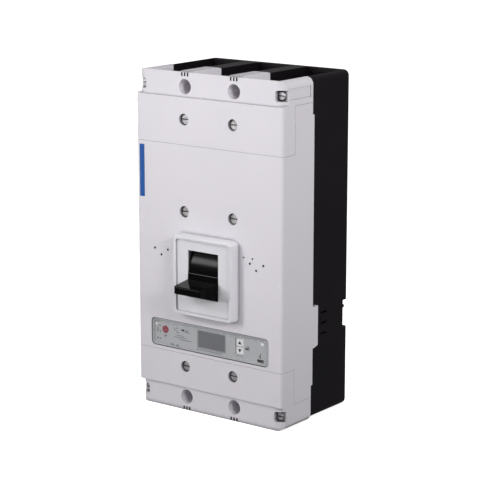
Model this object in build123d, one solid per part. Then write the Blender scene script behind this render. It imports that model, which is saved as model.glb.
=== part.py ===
from build123d import *
import math
import os

# Three-pole molded case breaker, in millimetres.
# Origin: centre of the flat back (mounting) face. +X right seen from the front,
# +Y into the wall, +Z up. The lever is in its OFF position, down.

# ---- driving dimensions ------------------------------------------------------
WIDTH = 210.0              # over the light covers
HEIGHT = 401.0
DEPTH = 138.0              # wall to the front of the covers, without the lever
BASE_WIDTH = 200.0         # the dark base is 5 mm slimmer each side
POLE_PITCH = 70.0
POLES = (-POLE_PITCH, 0.0, POLE_PITCH)
RIB_X = (-POLE_PITCH / 2, POLE_PITCH / 2)

TOP = HEIGHT / 2
FRONT = -DEPTH
SPLIT = -78.0              # parting line of the base and the covers
END_SPLIT = -81.0          # the same line beside the terminal covers
END_SPLIT_Z = 158.0
STEP_Z = 172.0             # the terminal zones lie beyond this height
STEP_DEPTH = 2.5           # and their front is set back by this much
END_FRONT = FRONT + STEP_DEPTH
END_CORNER_R = 12.0        # upright front corners of the terminal zones
FACE_CORNER_R = 3.0        # upright front corners of the middle zone
UPPER_SEAM_Z = 117.0
LOWER_SEAM_Z = -131.0
SEAM = 0.3                 # gap between neighbouring covers
SHELF_Y = -114.5           # the terminal covers' front slabs lie on this shelf
WALL = 3.5
SIDE_WALL = 5.0

BACK_WALL = 8.0
UPPER_WALL_Z = (112.0, 118.0)     # cross wall, arc chambers to line terminals
LOWER_WALL_Z = (-133.0, -127.0)   # cross wall, trip chamber to load terminals
RIB_HALF = 10.5            # half the width of the ribs between terminals
PHASE_WALL_HALF = 4.0      # half the thickness of the walls between poles

MOUNT_Z = 184.0            # mounting screws, 70 x 368
MOUNT_ACCESS_R = 8.75
MOUNT_HOLE_R = 3.25
MOUNT_FLOOR = 12.0         # what is left of the rib under the screw's head

COVER_SCREW_Z = (146.6, 39.1, -146.6)
COVER_SCREW_HOLE_R = 6.75
CORNER_SCREW = (97.2, 184.0)

ESC_HALF = 42.0            # escutcheon: half width at its front
ESC_Z = (-79.5, 13.2)
ESC_FRONT = -150.2
ESC_PLATE = -148.2         # the sunk plate inside the raised rim
ESC_RIM = 3.6
WINDOW_HALF = 22.0
WINDOW_Z = (-57.5, -2.3)

TOGGLE_Y = -52.4           # axis of the lever
TOGGLE_Z = -40.0
SHIELD_R = 95.6            # curved shield that fills the window
LOWER_SHIELD_R = 84.0
SHIELD_T = 2.5
TOGGLE_TRAVEL = 19.0       # degrees, OFF to ON
LEVER_ROOT_HALF = 21.3
LEVER_TIP_HALF = 18.85
LEVER_TIP_Y = -178.2
LEVER_TOP_ROOT_Z = -36.5
LEVER_TOP_TIP_Z = -39.0
LEVER_LOW_ROOT_Z = -56.7
LEVER_LOW_TIP_Z = -47.6

SHAFT_Y = -40.0            # axis of the contact shaft
SHAFT_Z = -28.0
SHAFT_R = 10.0
CONTACT_TRAVEL = 26.0      # degrees, open to closed
CONTACT_RADIUS = 88.0      # shaft axis to the centre of the contact tips
ARM_HALF = 7.0             # half the thickness of one contact arm along X

BAR_FRONT_Y = -52.0        # terminal bars
BAR_BACK_Y = -42.0
BAR_HALF = 20.0
TERMINAL_BOLT_Z = 148.0
TERMINAL_BOLT_R = 5.0

PANEL_X = (-85.5, 85.5)    # trip unit panel
PANEL_Z = (-126.7, -93.9)
PANEL_Y = -137.2

RUN = 0.05                 # radial clearance of a running fit
FREE = 0.4                 # clearance of parts that pass each other


# ---- small helpers -----------------------------------------------------------
def block(x0, x1, y0, y1, z0, z1):
    centre = Pos((x0 + x1) / 2, (y0 + y1) / 2, (z0 + z1) / 2)
    return centre * Box(abs(x1 - x0), abs(y1 - y0), abs(z1 - z0))


def rod_x(radius, x0, x1, y, z):
    return Pos((x0 + x1) / 2, y, z) * Rot(0, 90, 0) * Cylinder(radius, abs(x1 - x0))


def rod_y(radius, x, y0, y1, z):
    return Pos(x, (y0 + y1) / 2, z) * Rot(90, 0, 0) * Cylinder(radius, abs(y1 - y0))


def rod_z(radius, x, y, z0, z1):
    return Pos(x, y, (z0 + z1) / 2) * Cylinder(radius, abs(z1 - z0))


def hex_y(across_flats, x, y0, y1, z):
    profile = Plane.XZ.offset(-y1) * Pos(x, z) * RegularPolygon(across_flats / 2, 6, major_radius=False)
    return extrude(profile, y1 - y0)


def plate_y(x0, x1, z0, z1, y0, y1, corner, taper=0):
    """Rounded plate seen from the front, from y1 at its back forward to y0."""
    profile = RectangleRounded(x1 - x0, z1 - z0, corner)
    profile = Plane.XZ.offset(-y1) * Pos((x0 + x1) / 2, (z0 + z1) / 2) * profile
    return extrude(profile, y1 - y0, taper=taper)


def front_rounded(half, y0, y1, z0, z1, corner):
    """Block across the body with its two upright front edges rounded."""
    profile = Pos(0, (y0 + y1) / 2) * Rectangle(2 * half, y1 - y0)
    profile = fillet(profile.vertices().sort_by(Axis.Y)[:2], corner)
    return Pos(0, 0, z0) * extrude(profile, z1 - z0)


def side_profile(points, x0, x1):
    """Plate with the outline (y, z) points, between x0 and x1."""
    face = make_face(Plane.YZ.offset(x0) * Polyline(*points, close=True))
    return extrude(face, x1 - x0, dir=(1, 0, 0))


def ring_sector(r_out, r_in, a0, a1, x0, x1, y=TOGGLE_Y, z=TOGGLE_Z):
    """Curved plate about an axis along X. Angles are degrees above the front direction."""
    def at(radius, angle):
        turn = math.radians(angle)
        return (y - radius * math.cos(turn), z + radius * math.sin(turn))
    mid = (a0 + a1) / 2
    plane = Plane.YZ.offset(x0)
    outline = [
        ThreePointArc(at(r_out, a0), at(r_out, mid), at(r_out, a1)),
        Line(at(r_out, a1), at(r_in, a1)),
        ThreePointArc(at(r_in, a1), at(r_in, mid), at(r_in, a0)),
        Line(at(r_in, a0), at(r_out, a0)),
    ]
    face = make_face([plane * edge for edge in outline])
    return extrude(face, x1 - x0, dir=(1, 0, 0))


def compartments(inner):
    """X ranges of the three terminal compartments, side walls at +-inner."""
    middle = POLE_PITCH / 2 - RIB_HALF
    outer = POLE_PITCH / 2 + RIB_HALF
    return ((-inner, -outer), (-middle, middle), (outer, inner))


def chambers(inner):
    """X ranges of the three pole chambers, side walls at +-inner."""
    middle = POLE_PITCH / 2 - PHASE_WALL_HALF
    outer = POLE_PITCH / 2 + PHASE_WALL_HALF
    return ((-inner, -outer), (-middle, middle), (outer, inner))


def slotted_screw(x, z, head_top, head_r, head_h, shank_r, shank_end):
    """Pan head screw along Y with a level slot."""
    head = rod_y(head_r, x, head_top, head_top + head_h, z)
    rim = head.edges().filter_by(GeomType.CIRCLE).sort_by(Axis.Y)[0]
    head = chamfer(rim, 0.6)
    slot = block(x - head_r, x + head_r, head_top - 1, head_top + head_h * 0.5, z - 0.7, z + 0.7)
    return head - slot + rod_y(shank_r, x, head_top + head_h, shank_end, z)


# ---- base and covers ---------------------------------------------------------
def base_housing():
    half = BASE_WIDTH / 2
    body = plate_y(-half, half, -TOP, TOP, SPLIT, 0, 7)
    body = fillet(body.faces().sort_by(Axis.Y)[-1].edges(), 3)
    for side in (-1, 1):
        z0, z1 = sorted((side * END_SPLIT_Z, side * TOP))
        end = plate_y(-half, half, -TOP, TOP, END_SPLIT, SPLIT, 7)
        body += end & block(-half, half, END_SPLIT, SPLIT, z0, z1)
    inner = half - SIDE_WALL
    front = END_SPLIT - 1
    for x0, x1 in chambers(inner):
        body -= block(x0, x1, front, -BACK_WALL, LOWER_WALL_Z[1], UPPER_WALL_Z[0])
    for x0, x1 in compartments(inner):
        body -= block(x0, x1, front, -BACK_WALL, UPPER_WALL_Z[1], TOP + 1)
        body -= block(x0, x1, front, -BACK_WALL, -TOP - 1, LOWER_WALL_Z[0])
    for pole in POLES:
        # the bars pass the cross walls in slots open to the front
        slot = BAR_HALF + FREE
        back = BAR_BACK_Y + FREE
        body -= block(pole - slot, pole + slot, front, back, UPPER_WALL_Z[0] - 1, UPPER_WALL_Z[1] + 1)
        body -= block(pole - slot, pole + slot, front, back, LOWER_WALL_Z[0] - 1, LOWER_WALL_Z[1] + 1)
    body -= shaft_path()
    for x in RIB_X:
        for z in (-MOUNT_Z, MOUNT_Z):
            body -= rod_y(MOUNT_ACCESS_R, x, front, -MOUNT_FLOOR, z)
            body -= rod_y(MOUNT_HOLE_R, x, -MOUNT_FLOOR - 1, 1, z)
        for z in COVER_SCREW_Z:
            body -= rod_y(2.2, x, front, -30, z)
    for side in (-1, 1):
        for z in (-77.5, -90.2, -102.9):
            body -= block(side * (inner - 1), side * (half + 1), -55.0, -42.5, z - 1.4, z + 1.4)
        notch = block(side * (inner - 1), side * (half + 1), -10, 1, -104.5, -71.5)
        notch -= block(side * (inner - 1), side * (half + 1), -10, -6.5, -80.5, -77)
        body -= notch
        for z in (-CORNER_SCREW[1], CORNER_SCREW[1]):
            x0, x1 = sorted((side * (inner - 6), side * (inner + 1)))
            body += block(x0, x1, END_SPLIT, END_SPLIT + 24, z - 6, z + 6)
            body -= rod_y(1.7, side * CORNER_SCREW[0], front, END_SPLIT + 20, z)
    return body


def shaft_path():
    """Room for the contact shaft in the walls between the poles, open to the front."""
    room = SHAFT_R + FREE
    path = rod_x(room, -39.5, 39.5, SHAFT_Y, SHAFT_Z)
    return path + block(-39.5, 39.5, END_SPLIT - 1, SHAFT_Y, SHAFT_Z - room, SHAFT_Z + room)


def main_cover():
    half = WIDTH / 2
    top = STEP_Z - SEAM / 2
    body = front_rounded(half, FRONT, SPLIT, -top, top, FACE_CORNER_R)
    body -= block(-half - 1, half + 1, FRONT - 1, SHELF_Y, UPPER_SEAM_Z, top + 1)
    body -= block(-half - 1, half + 1, FRONT - 1, SHELF_Y, -top - 1, LOWER_SEAM_Z)
    for z0, z1 in ((END_SPLIT_Z, top + 1), (-top - 1, -END_SPLIT_Z)):
        body -= block(-half - 1, half + 1, END_SPLIT, SPLIT + 1, z0, z1)
    inner = half - SIDE_WALL
    for x0, x1 in chambers(inner):
        body -= block(x0, x1, FRONT + WALL, SPLIT + 1, LOWER_WALL_Z[1], UPPER_WALL_Z[0])
    for x0, x1 in compartments(inner):
        body -= block(x0, x1, SHELF_Y + WALL, SPLIT + 1, UPPER_WALL_Z[1], top - WALL)
        body -= block(x0, x1, SHELF_Y + WALL, SPLIT + 1, -top + WALL, LOWER_WALL_Z[0])
    # screwdriver and bar access, closed by the terminal covers
    for pole in POLES:
        for z0, z1 in ((126, 164), (-164, -136)):
            body -= block(pole - 21, pole + 21, SHELF_Y - 1, SHELF_Y + WALL + 1, z0, z1)
    # middle row of cover screws: bosses in the walls between the poles
    for x in RIB_X:
        body += rod_y(9, x, FRONT + WALL - 1, SPLIT, COVER_SCREW_Z[1])
        body -= rod_y(COVER_SCREW_HOLE_R, x, FRONT - 1, FRONT + 9, COVER_SCREW_Z[1])
        for z in COVER_SCREW_Z:
            body -= rod_y(2.6, x, FRONT, END_SPLIT - 2, z)
            body -= rod_y(2.6, x, FRONT, SPLIT + 1, z)
    # room for the trip unit across all three poles, and its opening
    body -= block(-87.5, 88.5, FRONT + WALL, SPLIT + 1, LOWER_WALL_Z[1], -88)
    gap = 0.4
    body -= plate_y(PANEL_X[0] - gap, PANEL_X[1] + gap, PANEL_Z[0] - gap, PANEL_Z[1] + gap,
                    FRONT - 1, FRONT + WALL + 1, 5.4)
    # opening behind the escutcheon, where the curved shield swings
    body -= block(-27, 27, FRONT - 1, FRONT + WALL + 1, -75, 11)
    for x in (-79.4, -60.0, 59.4, 78.3):
        body -= rod_y(1.5, x, FRONT - 1, FRONT + WALL + 1, -9)
    for x in (-69.8, 68.3):
        body -= rod_y(1.5, x, FRONT - 1, FRONT + WALL + 1, -16)
    for x in (50.9, 62.9):
        body -= rod_y(1.1, x, FRONT - 1, FRONT + WALL + 1, -3)
    return body + side_tab(-1) + side_tab(1)


def side_tab(side):
    """Tongue of the main cover that reaches back over the side of the base."""
    outline = [(SPLIT - 1, -65), (-67.6, -65), (-67.6, -112.3), (SPLIT - 1, -115)]
    x0, x1 = sorted((side * (BASE_WIDTH / 2 + SEAM), side * WIDTH / 2))
    return side_profile(outline, x0, x1)


def terminal_cover(side):
    """End cover: thick block over the terminal compartments, with a front slab. side is +1 at the top."""
    half = WIDTH / 2
    seam_z = (UPPER_SEAM_Z if side > 0 else -LOWER_SEAM_Z) + SEAM
    low = STEP_Z + SEAM / 2

    def span(z_near, z_far):
        return tuple(sorted((side * z_near, side * z_far)))

    end = front_rounded(half, END_FRONT, END_SPLIT, *span(low, TOP), END_CORNER_R)
    outline = plate_y(-half, half, -TOP, TOP, FRONT - 1, END_SPLIT, 8.5)
    end &= outline
    slab = front_rounded(half, FRONT, SHELF_Y - SEAM, *span(seam_z, low + 1), FACE_CORNER_R)
    slab -= block(-half - 1, half + 1, FRONT - 1, END_FRONT, *span(STEP_Z, low + 2))
    body = slab + end
    inner = half - SIDE_WALL
    body -= block(-inner, inner, FRONT + WALL, SHELF_Y + 1, *span(seam_z + WALL, low - WALL))
    for x0, x1 in compartments(inner - SIDE_WALL + 0.5):
        body -= block(x0, x1, END_FRONT + WALL, END_SPLIT + 1, *span(low + WALL, TOP + 1))
    for x in RIB_X:
        body += rod_y(9.5, x, FRONT + 2, SHELF_Y - SEAM, side * COVER_SCREW_Z[0])
        body -= rod_y(COVER_SCREW_HOLE_R, x, FRONT - 1, FRONT + 9, side * COVER_SCREW_Z[0])
        body -= rod_y(2.6, x, FRONT, SHELF_Y + 1, side * COVER_SCREW_Z[0])
        body -= rod_y(MOUNT_ACCESS_R, x, END_FRONT - 1, END_SPLIT + 1, side * MOUNT_Z)
        for groove in (-4.2, 0, 4.2):
            x0 = x + groove - 0.8
            x1 = x + groove + 0.8
            body -= block(x0, x1, END_FRONT - 1, END_SPLIT + 1, *span(TOP - 4.5, TOP + 1))
    for edge in (-1, 1):
        x0, x1 = sorted((edge * 89.0, edge * 97.0))
        body += block(x0, x1, END_FRONT + 1, END_SPLIT, *span(CORNER_SCREW[1] - 7.6, CORNER_SCREW[1] + 7.6))
        body -= corner_pocket(edge, side)
        body -= rod_y(2.2, edge * CORNER_SCREW[0], END_FRONT, END_SPLIT + 1, side * CORNER_SCREW[1])
    if side > 0:
        for edge in (-1, 1):
            x0, x1 = sorted((edge * (half - 0.8), edge * (half + 1)))
            body -= block(x0, x1, -128.3, -85.1, 179, 191.5)
    return body


def corner_pocket(edge, side):
    """Square-sided pocket of a corner screw, open to the side of the body."""
    x0, x1 = sorted((edge * 92.0, edge * 110.0))
    z = side * CORNER_SCREW[1]
    return plate_y(x0, x1, z - 6.2, z + 6.2, END_FRONT - 1, -127.5, 3)


def escutcheon():
    """Raised frame round the lever: drafted rim, sunk plate, window; hollow behind."""
    draft = math.degrees(math.atan(1.5 / (FRONT - ESC_FRONT)))
    half = ESC_HALF + 1.5
    body = plate_y(-half, half, ESC_Z[0] - 1.5, ESC_Z[1] + 1.5, ESC_FRONT, FRONT, 5.5, draft)
    front_edges = body.faces().sort_by(Axis.Y)[0].edges()
    body = fillet(front_edges, 0.9)
    rim = ESC_RIM
    half = ESC_HALF - rim
    body -= plate_y(-half, half, ESC_Z[0] + rim, ESC_Z[1] - rim, ESC_FRONT - 1, ESC_PLATE, 3)
    body -= plate_y(-ESC_HALF + 2, ESC_HALF - 2, ESC_Z[0] + 2, ESC_Z[1] - 2, ESC_PLATE + 1.8, FRONT + 1, 3)
    body -= plate_y(-WINDOW_HALF, WINDOW_HALF, *WINDOW_Z, ESC_FRONT - 1, FRONT, 0.6)
    # two clips through the cover's opening hold it
    for x in (-25.5, 25.5):
        x0, x1 = sorted((x, x + math.copysign(1.2, x)))
        body += block(x0, x1, ESC_PLATE + 1.5, FRONT + WALL + 2.2, -30, -18)
        hook0, hook1 = sorted((x, x + math.copysign(3.2, x)))
        body += block(hook0, hook1, FRONT + WALL + 0.2, FRONT + WALL + 2.2, -30, -18)
    return body


def accent_stripe():
    """Thin plain label on the upper part of the main cover."""
    return plate_y(-101.0, -94.0, 50.5, 112.5, FRONT - 0.25, FRONT, 0.8)


# ---- fasteners ---------------------------------------------------------------
def end_cover_screws():
    """Four screws through the terminal covers into the ribs of the base."""
    heights = (COVER_SCREW_Z[0], COVER_SCREW_Z[2])
    return Compound(children=[cover_screw(x, z) for x in RIB_X for z in heights])


def middle_cover_screws():
    return Compound(children=[cover_screw(x, COVER_SCREW_Z[1]) for x in RIB_X])


def cover_screw(x, z):
    return slotted_screw(x, z, FRONT + 3.2, 6.0, 4.0, 2.1, -45)


def corner_screws():
    x, z = CORNER_SCREW
    screws = [slotted_screw(sx * x, sz * z, -130.5, 4.8, 3.0, 1.6, END_SPLIT + 18)
              for sx in (-1, 1) for sz in (-1, 1)]
    return Compound(children=screws)


def at_terminals(make):
    """One piece at each of the six terminals."""
    return Compound(children=[make(pole, z) for pole in POLES for z in (-TERMINAL_BOLT_Z, TERMINAL_BOLT_Z)])


WASHER_T = 3.0


def terminal_bolts():
    def bolt(x, z):
        under_head = BAR_FRONT_Y - WASHER_T
        head = hex_y(16, x, under_head - 6.4, under_head, z)
        return head + rod_y(TERMINAL_BOLT_R, x, under_head, BAR_BACK_Y + 12, z)
    return at_terminals(bolt)


def terminal_washers():
    def washer(x, z):
        disc = rod_y(10, x, BAR_FRONT_Y - WASHER_T, BAR_FRONT_Y, z)
        return disc - rod_y(TERMINAL_BOLT_R + 0.3, x, BAR_FRONT_Y - 4, BAR_FRONT_Y + 1, z)
    return at_terminals(washer)


def terminal_nuts():
    def nut(x, z):
        nut = hex_y(17, x, BAR_BACK_Y, BAR_BACK_Y + 8, z)
        return nut - rod_y(TERMINAL_BOLT_R, x, BAR_BACK_Y - 1, BAR_BACK_Y + 9, z)
    return at_terminals(nut)


# ---- current path ------------------------------------------------------------
TIP_T = 2.5
TIP_Z = SHAFT_Z + CONTACT_RADIUS
MOVING_TIP_T = 3.0
CONTACT_GAP = 0.35         # left between the closed tips
PIN_R = 4.0                # steel core of the contact shaft
NECK_HALF = 9.0            # load bar where it passes the current sensor
NECK_TOP_Z = -62.0


def line_terminal(pole):
    """Line bar: from the terminal down to the fixed contact."""
    bar = block(pole - BAR_HALF, pole + BAR_HALF, BAR_FRONT_Y, BAR_BACK_Y, TIP_Z - 9, STEP_Z - 2)
    bar = fillet(bar.edges().filter_by(Axis.Y), 2)
    return bar - rod_y(TERMINAL_BOLT_R + 0.5, pole, BAR_FRONT_Y - 1, BAR_BACK_Y + 1, TERMINAL_BOLT_Z)


def fixed_contacts():
    """Silver alloy tips brazed on the line bars."""
    tips = [plate_y(pole - 9, pole + 9, TIP_Z - 7, TIP_Z + 7, BAR_FRONT_Y - TIP_T, BAR_FRONT_Y, 1.5)
            for pole in POLES]
    return Compound(children=tips)


def load_terminal(pole):
    """Load bar: from the terminal up through the current sensor to the flexible strap."""
    bar = block(pole - BAR_HALF, pole + BAR_HALF, BAR_FRONT_Y, BAR_BACK_Y, -STEP_Z + 2, -120)
    bar = fillet(bar.edges().filter_by(Axis.Y), 2)
    bar += block(pole - NECK_HALF, pole + NECK_HALF, BAR_FRONT_Y, BAR_BACK_Y, -121, NECK_TOP_Z)
    return bar - rod_y(TERMINAL_BOLT_R + 0.5, pole, BAR_FRONT_Y - 1, BAR_BACK_Y + 1, -TERMINAL_BOLT_Z)


def flexible_straps():
    """Laminated copper loops from the load bars to the arms."""
    radius = 9.5
    middle_z = NECK_TOP_Z + radius + 2
    middle_y = (BAR_FRONT_Y + BAR_BACK_Y) / 2
    straps = [ring_sector(radius + 2, radius - 2, 90, 270, pole - 6, pole + 6, middle_y, middle_z)
              for pole in POLES]
    return Compound(children=straps)


def opened(solid):
    """Turn a part of the contact shaft from closed to open, about the shaft."""
    return Pos(0, SHAFT_Y, SHAFT_Z) * Rot(CONTACT_TRAVEL, 0, 0) * Pos(0, -SHAFT_Y, -SHAFT_Z) * solid


def from_shaft(points):
    return [(SHAFT_Y + y, SHAFT_Z + z) for y, z in points]


def moving_tip_back_y():
    return BAR_FRONT_Y - TIP_T - CONTACT_GAP - MOVING_TIP_T


def contact_arm(pole):
    """Copper arm that turns with the shaft."""
    rear = moving_tip_back_y() - SHAFT_Y
    tip = CONTACT_RADIUS + 8
    outline = from_shaft([
        (9, -4), (7, 8), (-8, 30), (rear, 50), (rear, tip), (rear - 9, tip), (rear - 9, 46),
        (-15, 24), (-12, 8), (-9, -6), (-4, -10), (5, -10),
    ])
    arm = side_profile(outline, pole - ARM_HALF, pole + ARM_HALF)
    arm -= rod_x(PIN_R, pole - ARM_HALF - 1, pole + ARM_HALF + 1, SHAFT_Y, SHAFT_Z)
    return opened(arm)


def moving_contacts():
    """Silver alloy tips brazed on the arms."""
    half = ARM_HALF - 0.5
    back = moving_tip_back_y()
    tips = [opened(plate_y(pole - half, pole + half, TIP_Z - 7, TIP_Z + 7, back, back + MOVING_TIP_T, 1.5))
            for pole in POLES]
    return Compound(children=tips)


SADDLE_HALF = 12.0
LUG_X = (13.0, 17.0)       # drive lugs of the centre pole
LUG_RADIUS = 20.0
LUG_ANGLE = 40.0           # above the front direction, contacts closed
LINK_PIN_R = 2.2


def drive_point(angle):
    turn = math.radians(angle)
    return (SHAFT_Y - LUG_RADIUS * math.cos(turn), SHAFT_Z + LUG_RADIUS * math.sin(turn))


def contact_shaft():
    """Moulded shaft in four lengths, joined by a saddle in front of each arm; two drive lugs."""
    edge = ARM_HALF + 0.2
    ends = (-89, -POLE_PITCH - edge, -POLE_PITCH + edge, -edge,
            edge, POLE_PITCH - edge, POLE_PITCH + edge, 89)
    lengths = [rod_x(SHAFT_R, x0, x1, SHAFT_Y, SHAFT_Z) for x0, x1 in zip(ends[::2], ends[1::2])]
    body = lengths[0]
    for length in lengths[1:]:
        body += length
    for pole in POLES:
        left = pole - SADDLE_HALF
        right = pole + SADDLE_HALF
        body += block(left, right, SHAFT_Y - 25, SHAFT_Y - 21, SHAFT_Z - 9, SHAFT_Z + 22)
        for x0, x1 in ((left, pole - edge), (pole + edge, right)):
            body += block(x0, x1, SHAFT_Y - 22, SHAFT_Y, SHAFT_Z - 9, SHAFT_Z + 9)
    body -= rod_x(PIN_R, -90, 90, SHAFT_Y, SHAFT_Z)
    body = opened(body)
    tip_y, tip_z = drive_point(LUG_ANGLE - CONTACT_TRAVEL)
    for x0, x1 in ((LUG_X[0], LUG_X[1]), (-LUG_X[1], -LUG_X[0])):
        root = [(SHAFT_Y, SHAFT_Z + 8), (SHAFT_Y, SHAFT_Z - 8)]
        arm = side_profile(root + [(tip_y, tip_z - 4.5), (tip_y, tip_z + 4.5)], x0, x1)
        arm += rod_x(4.5, x0, x1, tip_y, tip_z)
        arm -= rod_x(PIN_R, x0 - 1, x1 + 1, SHAFT_Y, SHAFT_Z)
        body += arm
    return body


def shaft_core():
    """Steel pin through the shaft and the three arms."""
    return rod_x(PIN_R, -91, 91, SHAFT_Y, SHAFT_Z)


def contact_springs():
    """Pressure springs between the saddles and the arms, as tubes."""
    springs = []
    for pole in POLES:
        tube = rod_y(4.5, pole, SHAFT_Y - 21, SHAFT_Y - 14.6, SHAFT_Z + 15)
        tube -= rod_y(3, pole, SHAFT_Y - 22, SHAFT_Y - 13, SHAFT_Z + 15)
        springs.append(opened(tube))
    return Compound(children=springs)


# ---- arc chutes --------------------------------------------------------------
CHUTE_Y = (-127.0, -58.0)
CHUTE_Z = (71.0, 110.0)
CHUTE_HALF = 24.0


def arc_chute_frame(pole):
    """Two insulating side plates with slots for the splitter plates."""
    frame = []
    for side in (-1, 1):
        x0, x1 = sorted((pole + side * (CHUTE_HALF - 2), pole + side * CHUTE_HALF))
        frame.append(block(x0, x1, *CHUTE_Y, *CHUTE_Z))
    return Compound(children=frame)


def splitter_plates(pole):
    """Steel plates with a rounded notch on the contact side."""
    plates = []
    count = 8
    pitch = (CHUTE_Z[1] - CHUTE_Z[0] - 5) / (count - 1)
    half = CHUTE_HALF - 2
    for i in range(count):
        z = CHUTE_Z[0] + 2 + i * pitch
        plate = block(pole - half, pole + half, CHUTE_Y[0] + 2, CHUTE_Y[1] - 2, z, z + 1.5)
        plate -= rod_z(9, pole, CHUTE_Y[1] - 10, z - 1, z + 3)
        plate -= block(pole - 9, pole + 9, CHUTE_Y[1] - 10, CHUTE_Y[1], z - 1, z + 3)
        plates.append(plate)
    return Compound(children=plates)


# ---- operating mechanism, centre pole ----------------------------------------
SIDE_PLATE_X = (27.0, 29.5)
YOKE_X = (23.5, 26.0)
UPPER_LINK_X = (17.4, 19.4)
LOWER_LINK_X = (19.8, 21.6)
CRADLE_X = (13.0, 16.0)
CRADLE_PIVOT = (-56.0, -70.0)
CRADLE_PIN = (-78.0, -58.0)
LATCH_PIVOT = (-98.0, -88.0)
LINK_LENGTH = 25.5
LINK_PLAY = 1.4            # the knee of the linkage is left this loose
TRIP_BAR = (-88.0, -100.0)
TRIP_BAR_R = 3.0
PIVOT_R = 3.0


def both_sides(x_range, make):
    """Mirror-image pair of plates, one each side of the centre line."""
    x0, x1 = x_range
    return make(x0, x1), make(-x1, -x0)


def knee_point(contact_angle):
    """Meeting point of the two links when the contacts are this many degrees from closed."""
    drive_y, drive_z = drive_point(LUG_ANGLE - contact_angle)
    mid_y = (drive_y + CRADLE_PIN[0]) / 2
    mid_z = (drive_z + CRADLE_PIN[1]) / 2
    span_y = drive_y - CRADLE_PIN[0]
    span_z = drive_z - CRADLE_PIN[1]
    span = math.hypot(span_y, span_z)
    height = math.sqrt(LINK_LENGTH ** 2 - (span / 2) ** 2)
    return (mid_y - height * span_z / span, mid_z + height * span_y / span)


def link_angle(start, end):
    """Direction of a link, in degrees about +X from the +Y direction."""
    return math.degrees(math.atan2(end[1] - start[1], end[0] - start[0]))


def link_plate(start, end, x0, x1, width, start_hole, end_hole):
    """Flat link with round ends and a hole in each."""
    turn = math.radians(link_angle(start, end))
    off_y = -math.sin(turn) * width / 2
    off_z = math.cos(turn) * width / 2
    corners = [(start[0] + off_y, start[1] + off_z), (end[0] + off_y, end[1] + off_z),
               (end[0] - off_y, end[1] - off_z), (start[0] - off_y, start[1] - off_z)]
    link = side_profile(corners, x0, x1)
    for point, hole in ((start, start_hole), (end, end_hole)):
        link += rod_x(width / 2, x0, x1, *point)
    for point, hole in ((start, start_hole), (end, end_hole)):
        link -= rod_x(hole, x0 - 1, x1 + 1, *point)
    return link


def mechanism_side_plates():
    """Pair of steel plates that carry the lever, the cradle, the latch and the trip bar."""
    outline = [(-8.2, -80), (-8.2, 24), (-60, 24), (-84, -20), (-106, -60), (-106, -91),
               (-96, -93), (-96, -106), (-82, -108), (-66, -84)]

    def plate(x0, x1):
        side = side_profile(outline, x0, x1)
        side -= rod_x(SHAFT_R + RUN, x0 - 1, x1 + 1, SHAFT_Y, SHAFT_Z)
        side -= block(x0 - 1, x1 + 1, SHAFT_Y, -7, SHAFT_Z - SHAFT_R - RUN, SHAFT_Z + SHAFT_R + RUN)
        side -= rod_x(PIVOT_R + RUN, x0 - 1, x1 + 1, TOGGLE_Y, TOGGLE_Z)
        side -= rod_x(PIVOT_R, x0 - 1, x1 + 1, *CRADLE_PIVOT)
        side -= rod_x(2 + RUN, x0 - 1, x1 + 1, *LATCH_PIVOT)
        return side - rod_x(TRIP_BAR_R + RUN, x0 - 1, x1 + 1, *TRIP_BAR)
    return Compound(children=list(both_sides(SIDE_PLATE_X, plate)))


def cradle():
    """Latched pair of plates that holds the fixed end of the upper links."""
    nose = (-101.0, -76.0)
    outline = [(CRADLE_PIVOT[0] + 5, CRADLE_PIVOT[1] - 4), (CRADLE_PIVOT[0] + 3, CRADLE_PIVOT[1] + 5),
               (CRADLE_PIN[0] + 3, CRADLE_PIN[1] + 5), (CRADLE_PIN[0] - 5, CRADLE_PIN[1] + 2),
               (nose[0], nose[1] + 4), (nose[0], nose[1]), (-80, -76)]
    near, far = both_sides(CRADLE_X, lambda x0, x1: side_profile(outline, x0, x1))
    body = near + far
    body += block(-CRADLE_X[0], CRADLE_X[0], nose[0], nose[0] + 4, nose[1], nose[1] + 4)
    body += rod_x(PIVOT_R, -SIDE_PLATE_X[1], SIDE_PLATE_X[1], *CRADLE_PIVOT)
    for x0, x1 in ((CRADLE_X[0], UPPER_LINK_X[1] + 0.2), (-UPPER_LINK_X[1] - 0.2, -CRADLE_X[0])):
        body += rod_x(LINK_PIN_R, x0, x1, *CRADLE_PIN)
    return body


def upper_links():
    """Links from the cradle to the knee."""
    knee = knee_point(CONTACT_TRAVEL)

    def link(x0, x1):
        return link_plate(CRADLE_PIN, knee, x0, x1, 11, LINK_PIN_R + RUN, LINK_PIN_R + LINK_PLAY)
    return Compound(children=list(both_sides(UPPER_LINK_X, link)))


def lower_links():
    """Links from the knee to the drive lugs, with the knee pins and drive pins riveted in."""
    knee = knee_point(CONTACT_TRAVEL)
    drive = drive_point(LUG_ANGLE - CONTACT_TRAVEL)

    def link(x0, x1):
        plate = link_plate(drive, knee, x0, x1, 8.4, 1, 1)
        inner = UPPER_LINK_X[0] - 0.2
        sign = 1 if x0 > 0 else -1
        far = max(abs(x0), abs(x1))
        knee0, knee1 = sorted((sign * inner, sign * far))
        drive0, drive1 = sorted((sign * (LUG_X[1] + 0.1), sign * far))
        plate += rod_x(LINK_PIN_R, knee0, knee1, *knee)
        return plate + rod_x(LINK_PIN_R, drive0, drive1, *drive)
    return Compound(children=list(both_sides(LOWER_LINK_X, link)))


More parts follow.
